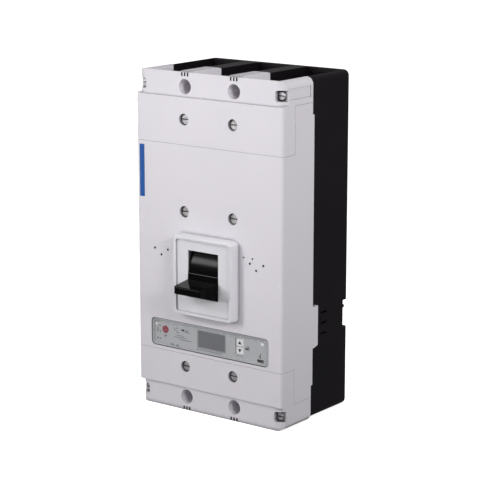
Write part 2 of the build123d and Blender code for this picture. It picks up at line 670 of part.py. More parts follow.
def toggle_yoke():
    """Steel bail that the lever is fixed on, with two stub pins in the side plates."""
    bar_z = (-51.0, -40.0)
    bar_y = (-131.2, -124.0)
    outline = [(TOGGLE_Y, TOGGLE_Z - 6), (TOGGLE_Y, TOGGLE_Z + 5.5), (bar_y[1], bar_z[1]),
               (bar_y[0], bar_z[1]), (bar_y[0], bar_z[0]), (bar_y[1], bar_z[0])]

    def arm(x0, x1):
        stub0, stub1 = sorted((math.copysign(YOKE_X[0], x0), math.copysign(SIDE_PLATE_X[1], x0)))
        plate = side_profile(outline, x0, x1) + rod_x(6, x0, x1, TOGGLE_Y, TOGGLE_Z)
        return plate + rod_x(PIVOT_R, stub0, stub1, TOGGLE_Y, TOGGLE_Z)
    near, far = both_sides(YOKE_X, arm)
    return near + far + block(-YOKE_X[0] - 1, YOKE_X[0] + 1, *bar_y, *bar_z)


def toggle_springs():
    """Pair of over-centre springs from the yoke to the knee, as tubes."""
    knee_y, knee_z = knee_point(CONTACT_TRAVEL)
    start = (-121.0, -45.5)
    springs = []
    for x in (-8, 8):
        axis = Vector(0, knee_y - start[0] - 6, knee_z - start[1])
        plane = Plane(origin=(x, *start), z_dir=axis)
        tube = Circle(4.2) - Circle(2.7)
        springs.append(extrude(plane * tube, axis.length))
    return Compound(children=springs)


def toggle_handle():
    """Lever grip: tapered block, a thin flange on the shield and a tongue onto the yoke."""
    profile = side_profile([
        (-144, LEVER_TOP_ROOT_Z), (-149, LEVER_TOP_ROOT_Z), (LEVER_TIP_Y, LEVER_TOP_TIP_Z),
        (LEVER_TIP_Y, LEVER_LOW_TIP_Z), (-149, LEVER_LOW_ROOT_Z), (-144, LEVER_LOW_ROOT_Z),
    ], -LEVER_ROOT_HALF, LEVER_ROOT_HALF)
    plan = Polyline((-LEVER_ROOT_HALF, -140), (-LEVER_ROOT_HALF, -149), (-LEVER_TIP_HALF, LEVER_TIP_Y),
                    (LEVER_TIP_HALF, LEVER_TIP_Y), (LEVER_ROOT_HALF, -149), (LEVER_ROOT_HALF, -140),
                    close=True)
    grip = profile & (Pos(0, 0, -70) * extrude(make_face(plan), 50))
    tip_edges = grip.faces().sort_by(Axis.Y)[0].edges()
    grip = fillet(tip_edges, 1.6)
    hollow = Pos(0, TOGGLE_Y, TOGGLE_Z) * Rot(0, 90, 0) * Cylinder(SHIELD_R, 60)
    grip -= hollow
    flange = ring_sector(SHIELD_R + 1.3, SHIELD_R, -9.9, 6.4, -LEVER_ROOT_HALF, LEVER_ROOT_HALF)
    tongue = block(-15.8, 15.8, -150, -131.2, -53.6, -38.4)
    return grip + flange + tongue


def handle_shield():
    """Curved shield that closes the window above the lever, and a smaller one below it."""
    half = LEVER_ROOT_HALF
    body = ring_sector(SHIELD_R, SHIELD_R - SHIELD_T, -9.9, 25.5, -half, half)
    body += ring_sector(LOWER_SHIELD_R, LOWER_SHIELD_R - SHIELD_T, -33, -8, -half, half)
    body += ring_sector(SHIELD_R - 0.5, LOWER_SHIELD_R - SHIELD_T, -9.9, -8, -half, half)
    return body - block(-16, 16, -155, -125, -53.8, -38.2)


def primary_latch():
    """Hook over the nose of the cradle, with a tail on the trip bar."""
    y, z = LATCH_PIVOT
    hook = [(y - 4, z - 4), (y + 4, z - 4), (y + 3, z + 6), (y - 4.5, z + 9), (y - 4.5, z + 16.5),
            (y + 2, z + 16.5), (y + 2, z + 20), (y - 8.5, z + 20), (y - 8.5, z + 4)]
    body = side_profile(hook, -8, 8)
    return body + rod_x(2, -SIDE_PLATE_X[1], SIDE_PLATE_X[1], y, z)


# ---- trip unit ---------------------------------------------------------------
TRIP_BACK_Y = -97.0
FACE_Y = -134.6            # face of the panel under the clear window
KEY_X = 43.2
KEY_Z = (-104.8, -114.5)
ENTER_KEY = (53.4, -110.2)
TRIP_BUTTON = (-67.4, -107.2)
BUTTON_TRAVEL = 3.0
WINDOW_HINGE = (-136.2, -97.5)
HINGE_R = 1.6
WINDOW_T = 1.6
LAMP_X = -79.0
LAMP_Z = (-103.5, -110.2, -119.2)
PORT = (72.2, -122.1)
PLUNGER_XY = (40.0, -83.0)
PLUNGER_R = 2.0
PLUNGER_TRAVEL = 3.0
DISPLAY_X = (-18.4, 21.0)
DISPLAY_Z = (-120.5, -100.7)


def trip_bar():
    """Bar behind the trip unit, with paddles for the button and the release."""
    y, z = TRIP_BAR
    bar = rod_x(TRIP_BAR_R, -71.5, 52, y, z)
    bar += block(-71.5, -63.5, y - 1.5, y + 1.5, z - 11, z)
    bar += block(34, 46, y - 2, y + 6.5, z - 1.5, z + 1.5)
    return bar + block(-7, 7, y - 1.5, y + 1.5, z, z + 7.5)


def trip_release():
    """Sealed magnet release that lifts the trip bar."""
    body = block(30, 50, -94.5, -78.5, -126.4, -111)
    body = fillet(body.edges().filter_by(Axis.Z), 2)
    return body - rod_z(PLUNGER_R + FREE, *PLUNGER_XY, -124, -110)


def release_plunger():
    return rod_z(PLUNGER_R, *PLUNGER_XY, -123, TRIP_BAR[1] - 1.5 - PLUNGER_TRAVEL - FREE)


def current_sensors():
    """Measuring coils round the load bars."""
    coils = []
    for pole in POLES:
        coil = block(pole - 22, pole + 22, -70, -24, -116, -88)
        coil = fillet(coil.edges().filter_by(Axis.Z), 6)
        room = 0.5
        coils.append(coil - block(pole - NECK_HALF - room, pole + NECK_HALF + room, BAR_FRONT_Y - room,
                                  BAR_BACK_Y + room, -117, -87))
    return Compound(children=coils)


def trip_unit_housing():
    """Moulded case of the electronic trip unit; its face is the panel."""
    x0, x1 = PANEL_X
    z0, z1 = PANEL_Z
    body = plate_y(x0, x1, z0, z1, PANEL_Y, TRIP_BACK_Y, 5)
    rim = 1.6
    body -= plate_y(x0 + rim, x1 - rim, z0 + rim, z1 - rim, PANEL_Y - 1, FACE_Y, 3.6)
    body -= block(x0 + 4, x1 - 4, FACE_Y + 2, TRIP_BACK_Y + 1, z0 + 2.5, z1 - 2.5)
    # pocket for the window's hinge barrel, with two small pins
    pocket_z = (WINDOW_HINGE[1] - 2.3, z1 - rim)
    body -= block(x0 + rim, x1 - rim, PANEL_Y - 1, WINDOW_HINGE[0] + 2.1, *pocket_z)
    for px0, px1 in ((x0 + rim - 0.2, x0 + 6), (x1 - 6, x1 - rim + 0.2)):
        body += rod_x(0.8, px0, px1, *WINDOW_HINGE)
    body -= block(DISPLAY_X[0], DISPLAY_X[1], FACE_Y - 1, FACE_Y + 3, *DISPLAY_Z)
    for z in KEY_Z:
        body -= block(KEY_X - 4.6, KEY_X + 4.6, FACE_Y - 1, FACE_Y + 3, z - 4.4, z + 4.4)
    body -= rod_y(3.4, ENTER_KEY[0], FACE_Y - 1, FACE_Y + 3, ENTER_KEY[1])
    body -= rod_y(4.4 + FREE, TRIP_BUTTON[0], FACE_Y - 1, FACE_Y + 3, TRIP_BUTTON[1])
    for z in LAMP_Z:
        body -= rod_y(1.2, LAMP_X, FACE_Y - 1, FACE_Y + 3, z)
    body -= block(PORT[0] - 4.5, PORT[0] + 4.5, FACE_Y - 1, FACE_Y + 3, PORT[1] - 1.9, PORT[1] + 1.9)
    for x in (-57.4, -49.0):
        body -= block(x - 2.2, x + 2.2, FACE_Y - 1, FACE_Y + 3, -124.9, -123.1)
    return body


def trip_window():
    """Clear flap over the panel, hinged along its top edge."""
    x0, x1 = PANEL_X
    gap = 2.1
    y, z = WINDOW_HINGE
    front = PANEL_Y - 0.4
    body = plate_y(x0 + gap, x1 - gap, PANEL_Z[0] + gap, z + 0.6, front, front + WINDOW_T, 2.5)
    body -= block(x0, x1, front - 1, front + WINDOW_T + 1, z - 0.4, z + 3)
    body += rod_x(HINGE_R, x0 + gap, x1 - gap, y, z)
    body += block(x0 + gap, x1 - gap, front, front + WINDOW_T, z - 3, z)
    return body - rod_x(0.85, x0, x1, y, z)


def trip_display():
    x0, x1 = DISPLAY_X
    z0, z1 = DISPLAY_Z
    return block(x0 + 0.1, x1 - 0.1, FACE_Y + 0.4, FACE_Y + 4.5, z0 + 0.1, z1 - 0.1)


def trip_circuit_board():
    board = block(-78, 79, -122, -120.4, PANEL_Z[0] + 3.5, PANEL_Z[1] - 3.5)
    for x0, x1, z0, z1 in ((-40, -22, -118, -104), (-8, 6, -117, -103), (50, 66, -120, -108)):
        board += block(x0, x1, -120.5, -116, z0, z1)
    return board - rod_y(3.2, TRIP_BUTTON[0], -125, -115, TRIP_BUTTON[1])


def key_cap(z):
    """Arrow key: square cap with a plunger towards the board."""
    cap = plate_y(KEY_X - 4.2, KEY_X + 4.2, z - 4.0, z + 4.0, FACE_Y - 0.7, FACE_Y + 1.6, 1)
    return cap + rod_y(1.5, KEY_X, FACE_Y + 1.5, -123.6, z)


def enter_key():
    x, z = ENTER_KEY
    return rod_y(3.0, x, FACE_Y - 0.7, FACE_Y + 1.6, z) + rod_y(1.3, x, FACE_Y + 1.5, -123.6, z)


def trip_button():
    """Red test button with a stem that reaches back to the trip bar."""
    x, z = TRIP_BUTTON
    cap = rod_y(4.4, x, FACE_Y - 0.4, FACE_Y + 7.5, z)
    slot = block(x - 3, x + 3, FACE_Y - 1, FACE_Y + 0.4, z - 0.6, z + 0.6)
    return cap - slot + rod_y(2.0, x, FACE_Y + 7, TRIP_BAR[0] - 1.5 - BUTTON_TRAVEL - FREE, z)


def trip_button_spring():
    x, z = TRIP_BUTTON
    return rod_y(4.0, x, FACE_Y + 7.5, -122, z) - rod_y(2.8, x, FACE_Y + 7, -121, z)


def status_lamps():
    """Three light guides."""
    lamps = [rod_y(1.1, LAMP_X, FACE_Y - 0.1, FACE_Y + 6, z) for z in LAMP_Z]
    return Compound(children=lamps)


def test_port():
    """Socket for a test device."""
    x, z = PORT
    shell = block(x - 4.3, x + 4.3, FACE_Y, FACE_Y + 7, z - 1.7, z + 1.7)
    return shell - block(x - 3.8, x + 3.8, FACE_Y - 1, FACE_Y + 5.5, z - 1.2, z + 1.2)


# ---- all nodes ---------------------------------------------------------------
def assembly():
    nodes = {
        "base_housing": base_housing(),
        "main_cover": main_cover(),
        "upper_terminal_cover": terminal_cover(1),
        "lower_terminal_cover": terminal_cover(-1),
        "escutcheon": escutcheon(),
        "accent_stripe": accent_stripe(),
        "end_cover_screws": end_cover_screws(),
        "middle_cover_screws": middle_cover_screws(),
        "corner_screws": corner_screws(),
        "terminal_bolts": terminal_bolts(),
        "terminal_washers": terminal_washers(),
        "terminal_nuts": terminal_nuts(),
        "fixed_contacts": fixed_contacts(),
        "flexible_straps": flexible_straps(),
        "moving_contacts": moving_contacts(),
        "contact_shaft": contact_shaft(),
        "shaft_core": shaft_core(),
        "contact_springs": contact_springs(),
        "mechanism_side_plates": mechanism_side_plates(),
        "cradle": cradle(),
        "upper_links": upper_links(),
        "lower_links": lower_links(),
        "toggle_yoke": toggle_yoke(),
        "toggle_springs": toggle_springs(),
        "toggle_handle": toggle_handle(),
        "handle_shield": handle_shield(),
        "primary_latch": primary_latch(),
        "trip_bar": trip_bar(),
        "trip_release": trip_release(),
        "release_plunger": release_plunger(),
        "current_sensors": current_sensors(),
        "trip_unit_housing": trip_unit_housing(),
        "trip_window": trip_window(),
        "trip_display": trip_display(),
        "trip_circuit_board": trip_circuit_board(),
        "up_key": key_cap(KEY_Z[0]),
        "down_key": key_cap(KEY_Z[1]),
        "enter_key": enter_key(),
        "trip_button": trip_button(),
        "trip_button_spring": trip_button_spring(),
        "status_lamps": status_lamps(),
        "test_port": test_port(),
    }
    for side, pole in zip(("left", "middle", "right"), POLES):
        nodes[f"line_terminal_{side}"] = line_terminal(pole)
        nodes[f"load_terminal_{side}"] = load_terminal(pole)
        nodes[f"contact_arm_{side}"] = contact_arm(pole)
        nodes[f"arc_chute_frame_{side}"] = arc_chute_frame(pole)
        nodes[f"splitter_plates_{side}"] = splitter_plates(pole)
    return nodes


def main():
    os.makedirs("parts", exist_ok=True)
    for name, solid in assembly().items():
        export_step(solid, f"parts/{name}.step")


if __name__ == "__main__":
    main()
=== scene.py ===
# %% [markdown]
# # A molded case breaker, dressed for the studio
#
# The CAD model gives every solid of the breaker in its true place and size. This lesson
# puts moulded plastic, plated metal and printed marks on those solids, adds the small
# pieces that are easier to make as meshes, and sets up a camera, lights and a pale floor.
#
# The first cell loads the CAD model as a fixed frame. Lengths are in metres, +X is to the
# right of the front, +Y goes into the panel that the breaker hangs on, and +Z is up.

# %% Load the frame and keep its box
import math
from collections import namedtuple

import bmesh
import bpy
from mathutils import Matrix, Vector


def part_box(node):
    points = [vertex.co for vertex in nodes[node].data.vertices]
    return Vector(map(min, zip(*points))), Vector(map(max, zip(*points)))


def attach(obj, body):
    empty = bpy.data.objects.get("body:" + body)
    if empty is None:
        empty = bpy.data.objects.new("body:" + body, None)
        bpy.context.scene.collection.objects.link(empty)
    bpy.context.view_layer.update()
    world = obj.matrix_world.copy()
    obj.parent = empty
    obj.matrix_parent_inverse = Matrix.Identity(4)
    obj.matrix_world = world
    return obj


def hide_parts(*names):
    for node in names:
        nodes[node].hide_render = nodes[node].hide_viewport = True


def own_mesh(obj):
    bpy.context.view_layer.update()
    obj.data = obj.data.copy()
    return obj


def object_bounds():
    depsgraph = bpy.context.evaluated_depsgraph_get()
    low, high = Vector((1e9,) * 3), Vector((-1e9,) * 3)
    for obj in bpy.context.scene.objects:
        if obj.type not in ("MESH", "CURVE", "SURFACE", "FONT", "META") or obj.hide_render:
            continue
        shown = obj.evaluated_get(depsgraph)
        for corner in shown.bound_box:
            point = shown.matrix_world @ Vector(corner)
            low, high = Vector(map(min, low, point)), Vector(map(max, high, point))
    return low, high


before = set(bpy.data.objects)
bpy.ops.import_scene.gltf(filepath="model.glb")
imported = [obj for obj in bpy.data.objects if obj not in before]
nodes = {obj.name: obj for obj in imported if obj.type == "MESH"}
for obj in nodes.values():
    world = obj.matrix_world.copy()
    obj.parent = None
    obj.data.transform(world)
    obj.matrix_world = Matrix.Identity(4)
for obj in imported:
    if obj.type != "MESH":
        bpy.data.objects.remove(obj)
cad_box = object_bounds()
MM = 0.001
print("CAD box in mm:", [round(side / MM, 1) for side in cad_box[1] - cad_box[0]])

# %% [markdown]
# ## Small helpers for materials
#
# A material is a little network of nodes. Three helpers keep the later cells short: one
# turns the screen values that a paint chart gives into the linear numbers that a shader
# works with, one adds a node with its settings, and one opens an empty node group.
# A group is a reusable effect with named inputs and outputs, so each finish below can
# have the same moulded skin or the same rubbed edges, but with values of its own.

# %% Colour, node and group helpers
def chart(red, green, blue):
    """Linear colour from the 0 to 255 values of a colour chart."""
    parts = []
    for value in (red, green, blue):
        share = value / 255
        parts.append(share / 12.92 if share <= 0.04045 else ((share + 0.055) / 1.055) ** 2.4)
    return (*parts, 1.0)


def add(tree, kind, **settings):
    """New node; settings are attributes, or socket values where the name is a socket's."""
    node = tree.nodes.new(kind)
    for name, value in settings.items():
        if hasattr(node, name):
            setattr(node, name, value)
        else:
            node.inputs[name.replace("_", " ").title()].default_value = value
    return node


def new_group(name, inputs, outputs):
    """Empty shader group with its sockets, and its input and output nodes."""
    group = bpy.data.node_groups.new(name, "ShaderNodeTree")
    for label, kind, value in inputs:
        socket = group.interface.new_socket(label, in_out="INPUT", socket_type=kind)
        socket.default_value = value
    for label, kind in outputs:
        group.interface.new_socket(label, in_out="OUTPUT", socket_type=kind)
    return group, group.nodes.new("NodeGroupInput"), group.nodes.new("NodeGroupOutput")


FLOAT = "NodeSocketFloat"
COLOUR = "NodeSocketColor"
print("helpers ready")

# %% [markdown]
# ## The moulded skin
#
# A case like this is pressed from filled plastic in a steel tool. The tool's spark-eroded
# walls leave a fine even grain, and the filler makes clouds of slightly different tone
# and gloss as the plastic flows. A noise texture at two sizes copies that: the fine one
# is handed out as a height for the bump, and the coarse one mixes two tones and moves
# the roughness a little. Object coordinates are metres on the part, so the grain keeps
# its real size.

# %% Group: moulded skin
def moulded_skin_group():
    """Two tones in clouds, a grain height, and a roughness that follows the clouds."""
    group, given, result = new_group(
        "moulded_skin",
        [("Tone", COLOUR, (0.8, 0.8, 0.8, 1)), ("Cloud", COLOUR, (0.7, 0.7, 0.7, 1)),
         ("Grain", FLOAT, 2500.0), ("Gloss", FLOAT, 0.5), ("Spread", FLOAT, 0.08)],
        [("Tone", COLOUR), ("Roughness", FLOAT), ("Height", FLOAT)])
    link = group.links.new
    place = add(group, "ShaderNodeTexCoord")
    grain = add(group, "ShaderNodeTexNoise", detail=3, roughness=0.55)
    cloud = add(group, "ShaderNodeTexNoise", scale=14, detail=5, roughness=0.6, distortion=0.4)
    fleck = add(group, "ShaderNodeTexNoise", scale=420, detail=2)
    mix = add(group, "ShaderNodeMix", data_type="RGBA")
    spread = add(group, "ShaderNodeMath", operation="MULTIPLY_ADD")
    centre = add(group, "ShaderNodeMath", operation="SUBTRACT")
    centre.inputs[1].default_value = 0.5
    both = add(group, "ShaderNodeMath", operation="MULTIPLY_ADD")
    both.inputs[1].default_value = 0.35
    for texture in (grain, cloud, fleck):
        link(place.outputs["Object"], texture.inputs["Vector"])
    link(given.outputs["Grain"], grain.inputs["Scale"])
    link(fleck.outputs["Fac"], both.inputs[0])
    link(cloud.outputs["Fac"], both.inputs[2])
    link(both.outputs[0], centre.inputs[0])
    link(both.outputs[0], mix.inputs[0])
    link(given.outputs["Tone"], mix.inputs[6])
    link(given.outputs["Cloud"], mix.inputs[7])
    link(centre.outputs[0], spread.inputs[0])
    link(given.outputs["Spread"], spread.inputs[1])
    link(given.outputs["Gloss"], spread.inputs[2])
    link(mix.outputs[2], result.inputs["Tone"])
    link(spread.outputs[0], result.inputs["Roughness"])
    link(grain.outputs["Fac"], result.inputs["Height"])
    return group


MOULDED_SKIN = moulded_skin_group()
print("group", MOULDED_SKIN.name, "with", len(MOULDED_SKIN.nodes), "nodes")

# %% [markdown]
# ## Rubbed edges and settled dust
#
# Corners are what hands, cartons and tools touch, so they shine or pale first. A bevel
# node gives the normal that a rounded edge would have; where it differs from the flat
# normal, there is an edge. Broken up with noise, that is a believable rub mask.
# Dust lies only on faces that look up, so its mask is the upward part of the normal,
# again broken up with noise. Both masks are weak here, because the breaker is new.

# %% Groups: edge rub and settled dust
def edge_rub_group():
    """Mask of the edges that hands and tools rub."""
    group, given, result = new_group(
        "edge_rub", [("Width", FLOAT, 0.0008), ("Amount", FLOAT, 0.5)], [("Mask", FLOAT)])
    link = group.links.new
    place = add(group, "ShaderNodeTexCoord")
    rounded = add(group, "ShaderNodeBevel", samples=4)
    flat = add(group, "ShaderNodeNewGeometry")
    same = add(group, "ShaderNodeVectorMath", operation="DOT_PRODUCT")
    edge = add(group, "ShaderNodeMapRange", from_min=0.995, from_max=0.86)
    noise = add(group, "ShaderNodeTexNoise", scale=160, detail=4)
    broken = add(group, "ShaderNodeMapRange", from_min=0.35, from_max=0.62)
    mask = add(group, "ShaderNodeMath", operation="MULTIPLY")
    amount = add(group, "ShaderNodeMath", operation="MULTIPLY", use_clamp=True)
    link(given.outputs["Width"], rounded.inputs["Radius"])
    link(rounded.outputs["Normal"], same.inputs[0])
    link(flat.outputs["Normal"], same.inputs[1])
    link(same.outputs["Value"], edge.inputs["Value"])
    link(place.outputs["Object"], noise.inputs["Vector"])
    link(noise.outputs["Fac"], broken.inputs["Value"])
    link(edge.outputs["Result"], mask.inputs[0])
    link(broken.outputs["Result"], mask.inputs[1])
    link(mask.outputs[0], amount.inputs[0])
    link(given.outputs["Amount"], amount.inputs[1])
    link(amount.outputs[0], result.inputs["Mask"])
    return group


def settled_dust_group():
    """Mask of the faces that look up, broken up as dust is."""
    group, given, result = new_group(
        "settled_dust", [("Amount", FLOAT, 0.2)], [("Mask", FLOAT)])
    link = group.links.new
    place = add(group, "ShaderNodeTexCoord")
    facing = add(group, "ShaderNodeNewGeometry")
    parts = add(group, "ShaderNodeSeparateXYZ")
    upward = add(group, "ShaderNodeMapRange", from_min=0.55, from_max=0.98)
    noise = add(group, "ShaderNodeTexNoise", scale=55, detail=6, roughness=0.65)
    patch = add(group, "ShaderNodeMath", operation="MULTIPLY")
    amount = add(group, "ShaderNodeMath", operation="MULTIPLY", use_clamp=True)
    link(facing.outputs["Normal"], parts.inputs[0])
    link(parts.outputs["Z"], upward.inputs["Value"])
    link(place.outputs["Object"], noise.inputs["Vector"])
    link(noise.outputs["Fac"], patch.inputs[0])
    link(upward.outputs["Result"], patch.inputs[1])
    link(patch.outputs[0], amount.inputs[0])
    link(given.outputs["Amount"], amount.inputs[1])
    link(amount.outputs[0], result.inputs["Mask"])
    return group


EDGE_RUB = edge_rub_group()
SETTLED_DUST = settled_dust_group()
print("groups", EDGE_RUB.name, "and", SETTLED_DUST.name)

# %% [markdown]
# ## Grime in gaps
#
# The gaps between the covers and the small holes in them look nearly black on the real
# breaker, because they are deep and lie in shade; this group paints that shade into the
# colour. Ambient occlusion tells how much of the sky a point sees within a short reach. A
# point that sees little is in a gap, and the group gives a mask for it, which is broken up
# a little by noise. The panel goes without it, because the clear flap in front counts as
# something that closes it in.

# %% Group: painted gap shade
def painted_gap_shade_group():
    """Mask for painted shade: the places that see little of the sky within a short reach."""
    group, given, result = new_group(
        "painted_gap_shade", [("Reach", FLOAT, 0.006), ("Amount", FLOAT, 1.0)], [("Mask", FLOAT)])
    link = group.links.new
    sky = add(group, "ShaderNodeAmbientOcclusion", samples=8)
    closed = add(group, "ShaderNodeMapRange", interpolation_type="SMOOTHSTEP", from_min=0.86,
                 from_max=0.3)
    place = add(group, "ShaderNodeTexCoord")
    noise = add(group, "ShaderNodeTexNoise", scale=180, detail=3)
    patch = add(group, "ShaderNodeMapRange", to_min=0.75, to_max=1.15)
    shaded = add(group, "ShaderNodeMath", operation="MULTIPLY")
    amount = add(group, "ShaderNodeMath", operation="MULTIPLY", use_clamp=True)
    link(given.outputs["Reach"], sky.inputs["Distance"])
    link(sky.outputs["AO"], closed.inputs["Value"])
    link(place.outputs["Object"], noise.inputs["Vector"])
    link(noise.outputs["Fac"], patch.inputs["Value"])
    link(closed.outputs["Result"], shaded.inputs[0])
    link(patch.outputs["Result"], shaded.inputs[1])
    link(shaded.outputs[0], amount.inputs[0])
    link(given.outputs["Amount"], amount.inputs[1])
    link(amount.outputs[0], result.inputs["Mask"])
    return group


PAINTED_GAP_SHADE = painted_gap_shade_group()
print("group", PAINTED_GAP_SHADE.name)

# %% [markdown]
# ## A moulded finish
#
# Each plastic in the breaker is the same recipe: skin, rub and dust feed one Principled
# shader. Only the tones, gloss and grain differ. Values that are the same all over,
# such as the coat, are set on the shader itself.

# %% Recipe for a moulded finish
def place_group(tree, group, **values):
    """Put a group in a material, with values for its inputs."""
    node = tree.nodes.new("ShaderNodeGroup")
    node.node_tree = group
    for name, value in values.items():
        node.inputs[name].default_value = value
    return node


def layer(tree, below, mask, tone):
    """Mix a tone over a colour output by a mask, and return the new output."""
    mix = add(tree, "ShaderNodeMix", data_type="RGBA")
    tree.links.new(mask, mix.inputs[0])
    tree.links.new(below, mix.inputs[6])
    mix.inputs[7].default_value = tone
    return mix.outputs[2]


def blank_material(name):
    """New material, with its node tree and its shader."""
    material = bpy.data.materials.new(name)
    material.use_nodes = True
    tree = material.node_tree
    return material, tree, tree.nodes["Principled BSDF"]


def bump(tree, shader, height, depth):
    """Feed a height to a shader as a bump of a depth in metres."""
    node = add(tree, "ShaderNodeBump")
    node.inputs["Distance"].default_value = depth
    tree.links.new(height, node.inputs["Height"])
    tree.links.new(node.outputs["Normal"], shader.inputs["Normal"])


RUB_WIDTH = 0.0007
GAP_REACH = 0.008
DUST_TONE = chart(196, 192, 184)
# Near-black tone of the painted shade in gaps and holes.
PAINTED_SHADE_TONE = chart(20, 17, 20)


def moulded(name, tone, cloud, gloss, spread=0.1, grain=2500.0, depth=0.00004, rub=None,
            rub_amount=0.4, dust=0.1, coat=0.0, specular=0.5, painted_shade=0.0):
    """Plastic from the moulded skin, with rub, dust and painted shade in gaps over it where given.
    """
    material, tree, shader = blank_material(name)
    skin = place_group(tree, MOULDED_SKIN, Tone=tone, Cloud=cloud, Grain=grain, Gloss=gloss,
                       Spread=spread)
    colour = skin.outputs["Tone"]
    if rub is not None:
        edge = place_group(tree, EDGE_RUB, Width=RUB_WIDTH, Amount=rub_amount)
        colour = layer(tree, colour, edge.outputs["Mask"], rub)
    settled = place_group(tree, SETTLED_DUST, Amount=dust)
    colour = layer(tree, colour, settled.outputs["Mask"], DUST_TONE)
    # Painted shade: darken the colour where the point sees little of the sky nearby.
    if painted_shade:
        gap = place_group(tree, PAINTED_GAP_SHADE, Reach=GAP_REACH, Amount=painted_shade)
        colour = layer(tree, colour, gap.outputs["Mask"], PAINTED_SHADE_TONE)
    tree.links.new(colour, shader.inputs["Base Color"])
    tree.links.new(skin.outputs["Roughness"], shader.inputs["Roughness"])
    bump(tree, shader, skin.outputs["Height"], depth)
    shader.inputs["Coat Weight"].default_value = coat
    shader.inputs["Specular IOR Level"].default_value = specular
    return material


FINISH = {}
# Painted shade: the cover and the escutcheon darken in their gaps and holes and round the
# escutcheon.
FINISH["cover"] = moulded("cover_light_grey", chart(226, 222, 228), chart(219, 215, 222), 0.46,
                          rub=chart(240, 238, 242), rub_amount=0.5, painted_shade=0.95)
FINISH["frame"] = moulded("escutcheon_light_grey", chart(229, 228, 232), chart(223, 222, 227), 0.4,
                          rub=chart(246, 245, 248), rub_amount=0.5, painted_shade=0.6)
FINISH["base"] = moulded("base_black_thermoset", chart(22, 17, 22), chart(16, 12, 16), 0.5,
                         spread=0.16, rub=chart(44, 40, 44), rub_amount=0.4, dust=0.02,
                         specular=0.12)
FINISH["lever"] = moulded("lever_black_gloss", chart(5, 5, 6), chart(9, 9, 10), 0.12,
                          spread=0.08, grain=900.0, depth=0.00001, rub=chart(30, 30, 32),
                          rub_amount=0.15, dust=0.0, specular=0.06)
FINISH["panel"] = moulded("panel_satin_grey", chart(187, 187, 191), chart(179, 180, 183), 0.42,
                          grain=3200.0, depth=0.00003, rub=chart(96, 96, 100), rub_amount=0.6)
FINISH["key"] = moulded("key_white_silicone", chart(246, 246, 247), chart(238, 238, 240), 0.5,
                        rub=chart(214, 214, 216), rub_amount=0.4)
FINISH["button"] = moulded("button_red_gloss", chart(158, 26, 58), chart(140, 18, 48), 0.24,
                           rub=chart(196, 60, 92), rub_amount=0.4, coat=0.3)
FINISH["stripe"] = moulded("stripe_blue_print", chart(20, 92, 170), chart(14, 80, 156), 0.3,
                           grain=1800.0, depth=0.00001, rub=chart(70, 130, 196), rub_amount=0.3)
FINISH["port"] = moulded("port_dark_plastic", chart(40, 40, 43), chart(32, 32, 35), 0.4)
FINISH["shaft"] = moulded("shaft_glass_filled", chart(38, 36, 36), chart(52, 50, 49), 0.55,
                          spread=0.2, rub=chart(78, 76, 74), dust=0.02)
FINISH["resin"] = moulded("sensor_potting_resin", chart(44, 44, 48), chart(36, 36, 40), 0.22,
                          spread=0.12, grain=300.0, depth=0.00008, dust=0.02)
FINISH["ink"] = moulded("mark_dark_ink", chart(24, 24, 27), chart(34, 34, 37), 0.5, dust=0.0,
                        specular=0.2)
FINISH["pale_ink"] = moulded("mark_grey_ink", chart(70, 70, 75), chart(84, 84, 88), 0.5,
                             dust=0.0, specular=0.2)
# Grey of the flange bead: a painted highlight on the black lever.
FINISH["bead"] = moulded("bead_painted_highlight", chart(120, 118, 122), chart(88, 87, 90), 0.3, dust=0.0)
FINISH["black_ink"] = moulded("mark_black_ink", chart(8, 8, 9), chart(13, 13, 14), 0.5,
                              dust=0.0, specular=0.15)
print("moulded finishes:", len(FINISH))

# %% [markdown]
# ## Plated and drawn metal
#
# Screws and plates are zinc plated: pale, a little cloudy, with fine lines from drawing
# or turning. A noise texture that is stretched many times along one axis gives lines,
# and a second, unstretched one gives the clouds of the plating. Copper bars are tinned,
# so they are nearly as pale, with a larger crystal pattern.

# %% Group: drawn metal, and the metal recipe
def drawn_metal_group():
    """Two tones in crystals, and fine lines in the height and the roughness."""
    group, given, result = new_group(
        "drawn_metal",
        [("Tone", COLOUR, (0.6, 0.6, 0.6, 1)), ("Cloud", COLOUR, (0.4, 0.4, 0.4, 1)),
         ("Lines", FLOAT, 30.0), ("Crystal", FLOAT, 90.0), ("Gloss", FLOAT, 0.3)],
        [("Tone", COLOUR), ("Roughness", FLOAT), ("Height", FLOAT)])
    link = group.links.new
    place = add(group, "ShaderNodeTexCoord")
    along = add(group, "ShaderNodeCombineXYZ", x=40)
    stretch = add(group, "ShaderNodeVectorMath", operation="MULTIPLY")
    lines = add(group, "ShaderNodeTexNoise", scale=60, detail=4)
    crystal = add(group, "ShaderNodeTexVoronoi")
    rough = add(group, "ShaderNodeMath", operation="MULTIPLY_ADD")
    rough.inputs[1].default_value = 0.22
    mix = add(group, "ShaderNodeMix", data_type="RGBA")
    link(given.outputs["Lines"], along.inputs["Y"])
    link(given.outputs["Lines"], along.inputs["Z"])
    link(place.outputs["Object"], stretch.inputs[0])
    link(along.outputs[0], stretch.inputs[1])
    link(stretch.outputs[0], lines.inputs["Vector"])
    link(place.outputs["Object"], crystal.inputs["Vector"])
    link(given.outputs["Crystal"], crystal.inputs["Scale"])
    link(crystal.outputs["Distance"], mix.inputs[0])
    link(given.outputs["Tone"], mix.inputs[6])
    link(given.outputs["Cloud"], mix.inputs[7])
    link(lines.outputs["Fac"], rough.inputs[0])
    link(given.outputs["Gloss"], rough.inputs[2])
    link(mix.outputs[2], result.inputs["Tone"])
    link(rough.outputs[0], result.inputs["Roughness"])
    link(lines.outputs["Fac"], result.inputs["Height"])
    return group


DRAWN_METAL = drawn_metal_group()
METAL_RUB_WIDTH = 0.0005
METAL_RUB_AMOUNT = 0.7
SCREW_REACH = 0.0035
# Near-black tone of the painted shade on the screws in their recesses.
SCREW_PAINTED_SHADE_TONE = chart(14, 12, 13)


